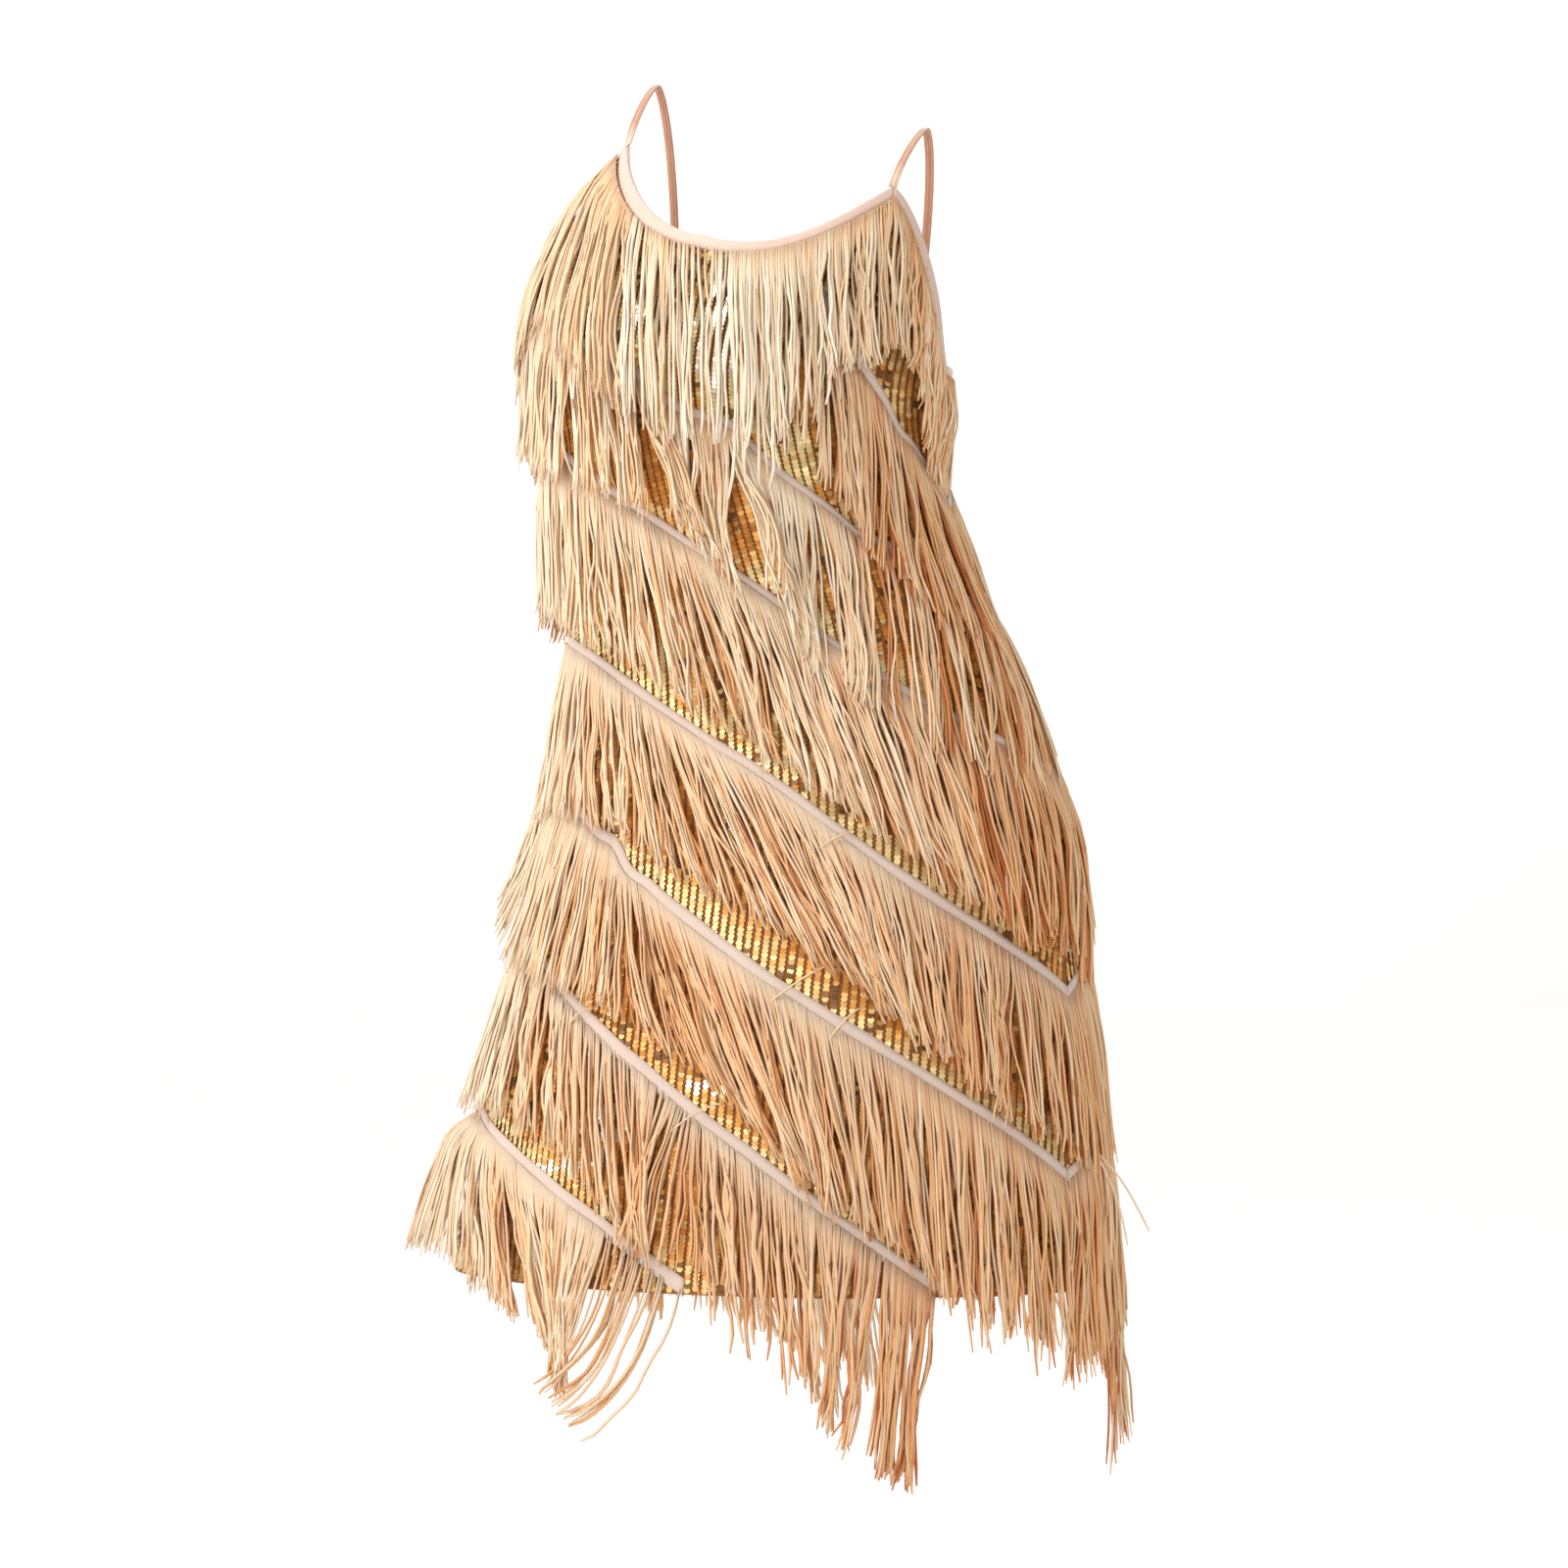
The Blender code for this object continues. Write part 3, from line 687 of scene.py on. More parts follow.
def grid_wall(outer, inner):
    """Points and faces of cloth between two grids of points [row, column], closed all round."""
    rows, cols = outer.shape[:2]
    index = np.arange(rows * cols).reshape(rows, cols)
    quads = np.stack([index[:-1, :-1], index[1:, :-1], index[1:, 1:], index[:-1, 1:]], -1)
    quads = quads.reshape(-1, 4)
    edge = np.concatenate([index[0, :-1], index[:-1, -1], index[-1, :0:-1], index[:0:-1, 0]])
    after = np.roll(edge, -1)
    behind = rows * cols
    rim = np.stack([edge, after, after + behind, edge + behind], -1)
    faces = np.concatenate([quads, quads[:, ::-1] + behind, rim])
    return np.concatenate([outer.reshape(-1, 3), inner.reshape(-1, 3)]), faces


def swept_bar(rings):
    """Points, side faces and end fans of a bar whose cross-sections are rings[step, corner]."""
    steps, corners = rings.shape[:2]
    index = np.arange(steps * corners).reshape(steps, corners)
    ahead = np.roll(index, -1, axis=1)
    sides = np.stack([index[:-1], ahead[:-1], ahead[1:], index[1:]], -1).reshape(-1, 4)
    middles = steps * corners + np.arange(2)
    start = np.stack([np.full(corners, middles[0]), ahead[0], index[0]], -1)
    end = np.stack([np.full(corners, middles[1]), index[-1], ahead[-1]], -1)
    centres = np.stack([rings[0].mean(axis=0), rings[-1].mean(axis=0)])
    points = np.concatenate([rings.reshape(-1, 3), centres])
    return points, sides, np.concatenate([start, end])


def yarn_tubes(paths, outward, width, depth):
    """Many yarns as one mesh. Each path [yarn, step] carries a triangle, flat side to the body,
    whose width and depth taper at the two ends, and a small triangle closes each end."""
    count, steps = paths.shape[:2]
    along = unit(np.gradient(paths, axis=1))
    side = unit(np.cross(outward[:, None, :], along))
    out = np.cross(along, side)
    turn = np.radians([90.0, 210.0, 330.0])
    share = np.linspace(0, 1, steps)
    taper = np.interp(share, [0, 0.06, 0.93, 1], [0.75, 1, 1, 0.55])[None, :, None, None]
    across = np.cos(turn)[None, None, :, None] * side[:, :, None] * width[:, None, None, None] / 2
    proud = np.sin(turn)[None, None, :, None] * out[:, :, None] * depth[:, None, None, None] / 2
    points = paths[:, :, None] + (across + proud) * taper
    index = np.arange(count * steps * 3).reshape(count, steps, 3)
    ahead = np.roll(index, -1, axis=2)
    quads = np.stack([index[:, :-1], index[:, 1:], ahead[:, 1:], ahead[:, :-1]], -1)
    ends = np.concatenate([index[:, 0, :], index[:, -1, ::-1]])
    return points.reshape(-1, 3), quads.reshape(-1, 4), ends


# Shaders


class Value:
    """A socket of a node tree, so that maths on it is written as a plain expression."""

    def __init__(self, finish, socket):
        self.finish, self.socket = finish, socket

    def _maths(self, operation, *values):
        """One step of maths on numbers or sockets."""
        inputs = dict(enumerate(values))
        return self.finish.node("ShaderNodeMath", {"operation": operation}, inputs)

    def __add__(self, other):
        return self._maths("ADD", self, other)

    def __sub__(self, other):
        return self._maths("SUBTRACT", self, other)

    def __rsub__(self, other):
        return self._maths("SUBTRACT", other, self)

    def __mul__(self, other):
        return self._maths("MULTIPLY", self, other)

    def wave(self, pitch):
        """A sine wave that comes round once a pitch."""
        return self._maths("SINE", self * (ONCE_ROUND / pitch))

    def size(self):
        """How far it is from 0, either way."""
        return self._maths("ABSOLUTE", self)

    def clamped(self):
        """Held between 0 and 1."""
        return self._maths("MINIMUM", self._maths("MAXIMUM", self, 0.0), 1.0)

    def above(self, threshold):
        """1 where it is more than a threshold, else 0."""
        return self._maths("GREATER_THAN", self, threshold)


def pick(sockets, key):
    """One of a node's sockets: by its number, or the one in use with that name."""
    if isinstance(key, int):
        return sockets[key]
    return next(s for s in sockets if key in (s.identifier, s.name) and s.enabled)


class Finish:
    """A material whose look is built up as expressions and set on its Principled shader."""

    def __init__(self, name):
        self.material = bpy.data.materials.new(name)
        self.material.use_nodes = True
        self.tree = self.material.node_tree
        self.shader = self.tree.nodes["Principled BSDF"]

    def put(self, socket, value):
        """Links a value to a socket, or sets the socket to a number, vector or colour."""
        if isinstance(value, Value):
            self.tree.links.new(value.socket, socket)
        elif isinstance(value, tuple) and len(value) == 3 and socket.type == "RGBA":
            socket.default_value = (*value, 1.0)
        else:
            socket.default_value = value

    def node(self, kind, settings=None, inputs=None, output=0):
        """Any node: its settings, then its sockets' values or links. Gives one of its outputs."""
        made = self.tree.nodes.new(kind)
        for name, value in (settings or {}).items():
            setattr(made, name, value)
        for key, value in (inputs or {}).items():
            self.put(pick(made.inputs, key), value)
        return Value(self, pick(made.outputs, output))

    def blend(self, share, first, second):
        """The colour that goes from first to second as share goes from 0 to 1."""
        inputs = {"Factor_Float": share, "A_Color": first, "B_Color": second}
        return self.node("ShaderNodeMix", {"data_type": "RGBA"}, inputs, "Result_Color")

    def uv(self):
        """The piece's UV, which is in metres."""
        return self.node("ShaderNodeUVMap", {"uv_map": "UVMap"})

    def split(self, vector):
        """The three parts of a vector."""
        part = self.node("ShaderNodeSeparateXYZ", None, {0: vector})
        return [Value(self, socket) for socket in part.socket.node.outputs]

    def place(self):
        """The place on the piece, in metres."""
        return self.node("ShaderNodeTexCoord", output="Object")

    def value(self, name):
        """A value that the piece's points carry."""
        return self.node("ShaderNodeAttribute", {"attribute_name": name}, output="Fac")

    def noise(self, vector, detail):
        """Soft noise, a patch to each unit of the vector, with so many finer layers added."""
        inputs = {"Vector": vector, "Scale": 1.0, "Detail": detail, "Roughness": 0.5}
        return self.node("ShaderNodeTexNoise", None, inputs, "Fac")

    def stretched(self, vector, x, y, z):
        """A vector with each of its parts made so many times longer."""
        inputs = {0: vector, 1: (x, y, z)}
        return self.node("ShaderNodeVectorMath", {"operation": "MULTIPLY"}, inputs)

    def bump(self, height, distance, strength=1.0):
        """Relief on the shader: the height, from 0 to 1, stands for a distance in metres."""
        inputs = {"Height": height, "Distance": distance, "Strength": strength}
        self.put(self.shader.inputs["Normal"], self.node("ShaderNodeBump", None, inputs))

    def set(self, **values):
        """Sets the shader's sockets by their names in small letters, and gives the material."""
        for name, value in values.items():
            title = name.replace("_", " ").title().replace("Ior", "IOR")
            self.put(self.shader.inputs[title], value)
        return self.material


def yarn_finish():
    """Doubled rayon yarn: tone runs from the shaded orange-brown between bunches to pale, and
    past 1 to cream, with fine streaks. Where its grey value is more than 0 it is greyer, which
    paints shade on the heads and a washed-out highlight on the lit side."""
    finish = Finish("champagne_yarn")
    streak = finish.noise(finish.stretched(finish.place(), 900, 900, 60), 2.0)
    tone_past = finish.value("tone") + (streak - 0.5) * 0.30
    tone = tone_past.clamped()
    deep = finish.blend((tone * 2.2).clamped(), (0.54, 0.125, 0.014), (0.81, 0.425, 0.17))
    colour = finish.blend((tone * 1.8 - 0.8).clamped(), deep, (0.87, 0.695, 0.475))
    cream = finish.blend(((tone_past - 1.0) * 4).clamped(), colour, (0.98, 0.855, 0.68))
    greyed = finish.blend(finish.value("stitched"), cream, (0.70, 0.56, 0.41))
    return finish.set(base_color=greyed, roughness=0.48, specular_ior_level=0.32, sheen_weight=0.08)


def sequin_finish():
    """Gold foil sequins: tone picks each one's colour, from nearly black through orange and pale
    gold to a bright glint, which is also the smoothest. The nearly black and orange tones are
    painted reflections and painted shade, and the glint's pale colour is a painted highlight."""
    finish = Finish("gold_sequins")
    tone = finish.value("tone")
    deep = finish.blend((tone * 2.5).clamped(), (0.050, 0.020, 0.006), (0.80, 0.33, 0.050))
    gold = finish.blend(((tone - 0.4) * 3.5).clamped(), deep, (0.85, 0.675, 0.30))
    colour = finish.blend(((tone - 0.9) * 10).clamped(), gold, (1.0, 0.93, 0.74))
    rough = 0.40 - (tone - 0.9).clamped() * 1.8
    return finish.set(base_color=colour, roughness=rough, metallic=0.4, specular_ior_level=0.6)


def ground_finish():
    """Knit ground of the panels: fine ribs, gold-brown outside and beige inside."""
    finish = Finish("knit_ground")
    u, v, _ = finish.split(finish.uv())
    weave = u.wave(0.0011) * v.wave(0.0009) * 0.5 + 0.5
    outside = finish.blend(weave, (0.29, 0.085, 0.015), (0.44, 0.165, 0.035))
    inside = finish.blend(weave, (0.56, 0.38, 0.24), (0.70, 0.51, 0.35))
    colour = finish.blend(finish.value("inside"), outside, inside)
    finish.bump(weave, 0.0002)
    return finish.set(base_color=colour, roughness=0.75)


def satin_finish():
    """Peach satin, cut on the bias: a soft shine, fine slanting weave and faint pulls."""
    finish = Finish("peach_satin")
    u, v, _ = finish.split(finish.uv())
    weave = (u + v).wave(0.0006) * 0.5 + 0.5
    pulls = finish.noise(finish.stretched(finish.uv(), 160, 900, 1), 3.0)
    colour = finish.blend((pulls * 1.2 - 0.1).clamped(), (0.77, 0.50, 0.385), (0.89, 0.675, 0.56))
    finish.bump(weave * 0.25 + pulls, 0.0005, 0.6)
    return finish.set(base_color=colour, roughness=0.36, sheen_weight=0.2)


def ribbon_finish():
    """Satin of the straps: like the binding's, with painted shade in the crease along the middle of
    each face and towards both edges, and paler at the strap point. The UV's second part goes
    round the strap, over its two faces."""
    finish = Finish("strap_satin")
    u, v, _ = finish.split(finish.uv())
    pulls = finish.noise(finish.stretched(finish.uv(), 120, 1400, 1), 3.0)
    fold = v.wave(STRAP_ROUND).size()
    crease = (1 - (fold - 0.97).size() * 22).clamped()
    edge = (1 - fold * 2.0).clamped()
    # Painted shade in the crease and towards both edges
    shade = (crease * 0.75 + edge * 0.6).clamped()
    cloth = finish.blend((pulls * 1.2 - 0.1).clamped(), (0.50, 0.24, 0.13), (0.74, 0.43, 0.28))
    cloth = finish.blend((1 - (u - 0.008) * 60).clamped(), cloth, (0.90, 0.64, 0.48))
    colour = finish.blend(shade, cloth, (0.42, 0.15, 0.070))
    finish.bump(pulls - shade, 0.0004, 0.6)
    return finish.set(base_color=colour, roughness=0.34, sheen_weight=0.2)


def tape_finish():
    """Woven header tape: fine ribs across it, a stitch line near each edge."""
    finish = Finish("woven_header")
    u, v, _ = finish.split(finish.uv())
    rib = u.wave(0.0010) * 0.5 + 0.5
    line = (1 - ((v - TAPE_WIDTH / 2).size() - 0.0024).size() * 2200).clamped()
    dash = (u.wave(0.0032) + 0.45).above(0.0)
    stitch = line * dash
    cloth = finish.blend(rib, (0.61, 0.46, 0.375), (0.73, 0.57, 0.475))
    colour = finish.blend(stitch * 0.6, cloth, (0.88, 0.72, 0.58))
    finish.bump(rib * 0.4 + stitch, 0.0003)
    return finish.set(base_color=colour, roughness=0.62, sheen_weight=0.15)


# Pieces


def half_girth(heights, panel):
    """How far it is round the body from a panel's centre line to its side seam, at each height."""
    turns = np.radians(np.linspace(0, 90, 181) + panel.centre)
    points = on_body(turns[None, :], heights[:, None])
    return np.linalg.norm(np.diff(points, axis=1), axis=-1).sum(axis=1)


def turn_on_body(share, panel):
    """The turn from a panel's centre line that holds a share of its half girth, at the hip.
    Shares past 1 go on round the side seam."""
    turns = np.linspace(0, 130, 261)
    travelled = lengths_along(on_body(np.radians(turns + panel.centre), np.full(261, HIP_HEIGHT)))
    travelled = travelled / np.interp(90, turns, travelled)
    return np.sign(share) * np.interp(np.abs(share), travelled, turns)


def binding_leg(angles, top):
    """How far below the panel's edge its binding ends. Both edges meet the side seams level."""
    steep = steepness(angles, top)
    steep[[0, -1]] = 1.0
    return BINDING_WIDTH * steep


def make_panel(side, ground):
    """Knit ground from the top edge to the hem, as two grids a wall apart. Its hem is turned
    under, which makes it a little thicker there."""
    panel = PANELS[side]
    angles = np.linspace(panel.first + SEAM_ANGLE, panel.last - SEAM_ANGLE, 97)
    top = panel.top_of(angles)
    down = np.linspace(0, 1, 54)[:, None]
    heights = top + (HEM_HEIGHT - top) * down
    turned_under = 0.0008 * np.clip((down - 0.975) / 0.01, 0, 1)
    outer = panel_point(angles, heights)
    inner = panel_point(angles, heights, -PANEL_WALL - turned_under)
    points, faces = grid_wall(outer, inner)
    width = 0.55  # about the girth of a panel, which the UV spreads over it evenly
    girth = np.broadcast_to(np.linspace(0, width, len(angles)), heights.shape)
    uv = np.stack([girth, heights], -1).reshape(-1, 2)
    return make_piece(
        f"{side}_ground",
        points,
        faces,
        ground,
        "sequin_fabric",
        [f"{side}_panel"],
        uv=np.concatenate([uv, uv]),
        inside=np.repeat([0.0, 1.0], heights.size),
    )


def under_fringe(side, angle, height):
    """How far a place on a panel lies behind strands, from 0 in the open bands to 1, which sets
    the sequins' painted shade: fully below each row, mostly round the wearer's left side, where
    the rows hang over one another and the side lies away from the key lamp, and a little below
    the top edge, where the strands are sparse."""
    panel = PANELS[side]

    def covered(below):
        """1 just below an edge or a row, easing to 0 past the strands' reach."""
        return np.clip((FRINGE_COVERS - below) / FRINGE_COVERS_FADE, 0, 1)

    hidden = 0.15 * covered(panel.top_of(angle) - height)
    if side == "front":
        at_side = ease((angle - 55) / 25) * ease((height + 0.70) / 0.08)
        hidden = np.maximum(hidden, 0.85 * at_side)
    for row in panel.rows:
        below = tape_height(side, row, angle) - height
        hidden = np.maximum(hidden, covered(below) * (below > 0) * between(angle, row))
    return hidden


def lay_out_sequins(side):
    """Angle, turn, height and column of each sequin: upright columns, evenly spaced round the
    body, with every second column half a drop higher. They stop at the seams and the binding."""
    panel = PANELS[side]
    heights = np.arange(HEM_HEIGHT + 0.003, -0.05, SEQUIN_DROP)
    reach = 0.42 / SEQUIN_COLUMNS  # more columns than any half panel holds
    columns = np.arange(np.floor(-reach), reach) * SEQUIN_COLUMNS
    offset = np.where(np.arange(len(columns)) % 2, SEQUIN_DROP / 2, 0.0)
    height = heights[:, None] + offset[None, :]
    share = columns[None, :] / half_girth(heights, panel)[:, None]
    turn = panel.centre + turn_on_body(share, panel)
    angle = turn + twist(height)
    edge = panel.top_of(np.clip(angle, panel.first, panel.last)) - BINDING_WIDTH * 1.1
    kept = (angle > panel.first + 0.7) & (angle < panel.last - 0.7) & (height < edge)
    column = np.broadcast_to(columns[None, :], kept.shape)
    return angle[kept], turn[kept], height[kept], column[kept]


def sequin_tones(side, angle, height, column, lit, rng):
    """Tone of each sequin: gold, with painted shade behind the fringe that is less towards the hem,
    patches of painted reflections where many are orange or nearly black, and full, a painted
    highlight, where it is turned to the light."""
    dark_reflection = np.sin(column / 0.0083 + height / 0.021) * np.sin(height / 0.0105 - column / 0.017 + 1.0)
    orange_reflection = np.sin(column / 0.013 - height / 0.009) * np.sin(height / 0.019 + column / 0.031)
    tone = SEQUIN_TONE + rng.normal(0, 0.08, len(angle))
    near_hem = 0.6 * np.exp(-(height - HEM_HEIGHT) / 0.03)
    # Painted shade behind the fringe, weaker near the hem
    tone = tone - BEHIND_FRINGE_DARKER * under_fringe(side, angle, height) * (1 - near_hem)
    # Patches of painted orange and nearly black reflections
    tone = np.where((orange_reflection > 0.64) & (rng.random(len(angle)) < 0.6), ORANGE_TONE, tone)
    tone = np.where((dark_reflection > 0.62) & (rng.random(len(angle)) < 0.5), DARK_TONE, tone)
    # Painted highlight on the sequins turned to the light
    return np.clip(np.where(lit > 0.5, 1.0, tone), 0, 1)


def make_sequins(side, shine, rng):
    """Straight columns of round sequins on thread. Each is a six-sided disc with a point behind,
    and hangs from its upper edge over the one below, tipped and turned a little by its patch and
    by chance, and turned towards the light where a glint lies."""
    angle, turn, height, column = lay_out_sequins(side)
    count = len(angle)
    point, round_it, up_it, out, _ = body_frame(turn, height)
    across, up = column / SEQUIN_PATCH, height / SEQUIN_PATCH
    patch_tip = np.sin(across * 5.1 + up * 2.3) * np.cos(up * 4.4)
    patch_turn = np.sin(up * 3.7 - across * 2.9 + 1.0)
    tip = np.radians(SEQUIN_TIP + 4 * patch_tip + rng.normal(0, 6.0, count))
    roll = np.radians(4 * patch_turn + rng.normal(0, 7.0, count))
    facing = out * np.cos(roll)[:, None] + round_it * np.sin(roll)[:, None]
    round_it = np.cross(up_it, facing)
    up_disc = up_it * np.cos(tip)[:, None] - facing * np.sin(tip)[:, None]
    facing = np.cross(round_it, up_disc)
    lit = np.zeros(count)
    for glint in GLINTS:
        if glint.side == side:
            aside = (angle - glint.angle) / glint.spread
            above = (height - glint.height) / glint.tall
            near = np.exp(-(aside**2 + above**2))
            lit = np.maximum(lit, near * (rng.random(count) < glint.share))
    lit = np.clip(lit * 1.6, 0, 1)
    light = np.array(TOWARDS_LIGHT) + rng.normal(0, 0.03, (count, 3))
    facing = unit(facing * (1 - lit)[:, None] + light * lit[:, None])
    round_it = unit(np.cross(up_it, facing))
    up_disc = np.cross(facing, round_it)
    lift = SEQUIN_LIFT + ripple(turn, height) + rng.normal(0, 0.00012, count)
    middle = point + out * lift[:, None]
    corner = np.radians(np.arange(6) * 60.0)
    radius = SEQUIN_SIZE / 2
    rim = (
        middle[:, None]
        + round_it[:, None] * (radius * np.cos(corner))[None, :, None]
        + up_disc[:, None] * (radius * np.sin(corner))[None, :, None]
    )
    behind = middle - facing * SEQUIN_POINT
    points = np.concatenate([rim, behind[:, None]], axis=1)
    base = 7 * np.arange(count)[:, None, None]
    front_face = np.array([[0, 1, 2, 3], [0, 3, 4, 5]])
    back_faces = np.array([[6, (k + 1) % 6, k] for k in range(6)])
    tone = sequin_tones(side, angle, height, column, lit, rng)
    return make_piece(
        f"{side}_sequins",
        points.reshape(-1, 3),
        (front_face[None] + base).reshape(-1, 4),
        shine,
        "sequin_fabric",
        triangles=(back_faces[None] + base).reshape(-1, 3),
        tone=np.repeat(tone, 7),
        smooth=False,
    )


def bar_uv(path, ring):
    """UV of a swept bar: how far along its path, and how far round one of its cross-sections.
    The middles of its two ends take the first and the last corner's."""
    uv = np.stack(np.broadcast_arrays(lengths_along(path)[:, None], lengths_along(ring)[None]), -1)
    uv = uv.reshape(-1, 2)
    return np.concatenate([uv, uv[[0, -1]]])


def make_binding(name, node, angles, top, leg, satin):
    """Satin folded over an edge: a rounded U carried along it. Its profile goes down the outer
    leg, back up inside that leg, over the cloth's edge and down the inner leg."""
    bend = np.radians(np.linspace(0, 180, 7))
    middle = -PANEL_WALL / 2
    outer_half = PANEL_WALL / 2 + SEAM_GAP + BINDING_THICK
    inner_half = PANEL_WALL / 2 + SEAM_GAP
    over = [(middle + outer_half * np.cos(a), SEAM_GAP + 0.0011 * np.sin(a), 0.0) for a in bend]
    under = [(middle + inner_half * np.cos(a), SEAM_GAP * np.sin(a), 0.0) for a in bend[::-1]]
    profile = [(middle + outer_half - 0.0002, 0.0, -1.0), (middle + outer_half + 0.0002, 0.0, -0.5)]
    profile += over
    profile += [(middle - outer_half, 0.0, -0.5), (middle - outer_half, 0.0, -1.0)]
    profile += [(middle - inner_half, 0.0, -1.0)] + under + [(middle + inner_half, 0.0, -1.0)]
    proud, rise, legs = (np.array(column) for column in zip(*profile))
    heights = top[:, None] + rise[None] + legs[None] * leg[:, None]
    rings = panel_point(angles[:, None], heights, proud[None])
    points, quads, ends = swept_bar(rings)
    uv = bar_uv(panel_point(angles, top), rings[len(rings) // 2])
    return make_piece(name, points, quads, satin, "satin", [node], triangles=ends, uv=uv)


def make_bindings(satin):
    """The satin of the front's edge, in three parts that stop just short of the strap points
    where they meet, and the satin of the back's edge."""
    seam, point = 90 - SEAM_ANGLE, STRAP_POINT_ANGLE
    right = np.linspace(-seam, -point, 40)
    neck = np.linspace(-point, point, 121)
    left = np.linspace(point, seam, 40)
    whole = np.concatenate([right, neck[1:], left[1:]])
    top = front_top(whole)
    leg = binding_leg(whole, top)
    parts = {
        "neck_binding": (-point, point),
        "armhole_binding_right": (-np.inf, -point),
        "armhole_binding_left": (point, np.inf),
    }
    made = []
    for node, (start, end) in parts.items():
        part = (whole >= start) & (whole <= end)
        angles = np.clip(whole[part], start + BINDING_SHORT, end - BINDING_SHORT)
        name = node.replace("binding", "satin")
        made.append(make_binding(name, node, angles, top[part], leg[part], satin))
    angles = np.linspace(90 + SEAM_ANGLE, 270 - SEAM_ANGLE, 161)
    top = back_top(angles)
    leg = binding_leg(angles, top)
    made.append(make_binding("back_satin", "back_binding", angles, top, leg, satin))
    return made


def over_shoulder(front, top, back, steps):
    """Points from one end of a strap over the shoulder to the other: two quarters of a rounded
    curve that meet level at the top."""
    turn = np.linspace(0, np.pi / 2, steps)[:, None]
    level = np.array([0.0, 1.0, 0.0])
    sine, cosine = np.sin(turn), np.cos(turn)
    power = 2 / STRAP_FRONT_ROUNDNESS
    rise = front + (top - front) * np.where(level, 1 - cosine**power, sine**power)
    power = 2 / STRAP_BACK_ROUNDNESS
    fall = top + (back - top) * np.where(level, sine**power, 1 - cosine**power)
    return np.concatenate([rise, fall[1:]])


def make_strap(name, side, satin):
    """A soft satin tube pressed flat: an oval with a shallow groove along its middle, carried
    over the shoulder from the strap point to the back edge. It lies along the edge at its two
    ends and square to the shoulder between them. The side is 1 for the wearer's left, else -1."""
    back_angle = 180.0 - side * BACK_STRAP_ANGLE
    places = (
        (side * STRAP_POINT_ANGLE, STRAP_POINT_HEIGHT),
        (back_angle, float(back_top(back_angle))),
    )
    starts, edges = [], []
    for angle, height in places:
        starts.append(body_point(angle, height + STRAP_START, -PANEL_WALL / 2))
        edges.append(unit(body_point(angle + 1, height) - body_point(angle - 1, height)))
    top = np.array([side * STRAP_TOP_SPREAD, 0.0, -side * STRAP_TOP_TILT])
    path = over_shoulder(starts[0], top, starts[1], 22)
    share = np.linspace(-1, 1, len(path))[:, None]
    near_end = share**8
    widths = np.array([1.0, 0.0, 0.0]) * (1 - near_end)
    widths = widths + np.where(share < 0, edges[0], -edges[1]) * near_end
    along = unit(np.gradient(path, axis=0))
    widths = unit(widths - along * np.sum(widths * along, axis=1, keepdims=True))
    depths = np.cross(along, widths)
    turn = np.radians(np.arange(12) * 30.0)
    groove = 1 - STRAP_GROOVE * bell(np.cos(turn), 0.3)
    across = (STRAP_WIDTH * STRAP_HALF_WIDTH * np.cos(turn))[None, :, None]
    deep = (STRAP_HALF_DEPTH * np.sin(turn) * groove)[None, :, None]
    rings = path[:, None] + widths[:, None] * across + depths[:, None] * deep
    points, quads, ends = swept_bar(rings)
    uv = bar_uv(path, rings[0])
    node = name.replace("ribbon", "strap")
    return make_piece(name, points, quads, satin, "satin", [node], triangles=ends, uv=uv)


def make_tape(side, row, cloth):
    """The woven header of a row: a thin band carried along its line, with a soft dome across
    it, a slight wave along its edges and a slight rise and fall off the cloth."""
    start, end = row.start + SEAM_ANGLE, row.end - SEAM_ANGLE
    angles = np.linspace(start, end, int((row.end - row.start) * TAPE_STEPS))
    middle = tape_height(side, row, angles)
    steep = steepness(angles, middle)
    travelled = lengths_along(panel_point(angles, middle))
    wave = TAPE_WAVE * np.sin(travelled / 0.021 + ord(row.name))
    wave = wave + TAPE_FINE_WAVE * np.sin(travelled / 0.008)
    across = np.linspace(0.5, -0.5, 5)[:, None]
    heights = middle + (across * TAPE_WIDTH + wave) * steep
    dome = TAPE_DOME * (1 - (2 * across) ** 2) + TAPE_SWELL * np.sin(travelled / 0.013 + 2.0)
    outer = panel_point(angles, heights, TAPE_LIFT + TAPE_THICK + dome)
    inner = panel_point(angles, heights, TAPE_LIFT + dome)
    points, faces = grid_wall(outer, inner)
    v = (0.5 - across) * TAPE_WIDTH
    uv = np.stack(np.broadcast_arrays(travelled[None], v), -1).reshape(-1, 2)
    return make_piece(
        f"header_{side}_{row.name}",
        points,
        faces,
        cloth,
        "woven_tape",
        [f"tape_{side}_{row.name}"],
        uv=np.concatenate([uv, uv]),
    )


# Fringe

# A line that strands hang from: the angles it spans and its height at any angle.
Line = namedtuple("Line", "span height")

# A row that shades those below it: where it is sewn, its height at any angle and how it hangs.
Cover = namedtuple("Cover", "start end height hangs")

# The strands of a row: how far along it each is sewn, at what angle and height, the share of a
# step along the row there that is level, whether it belongs to the underlayer, the numbers of
# its two clumps and how far it is from the middle of each.
Strands = namedtuple("Strands", "places angles heads level under big from_big small from_small")


def under_binding(side, angle):
    """Height of the line that a panel's top fringe hangs from, just inside its binding."""
    edge = PANELS[side].top_of(angle)
    return edge - binding_leg(angle, edge) + BINDING_COVERS


def under_tape(side, row, angle):
    """Height of the line that a row's strands hang from, just inside its tape's lower edge."""
    middle = tape_height(side, row, angle)
    return middle - (TAPE_WIDTH / 2 - TAPE_COVERS) * steepness(angle, middle)


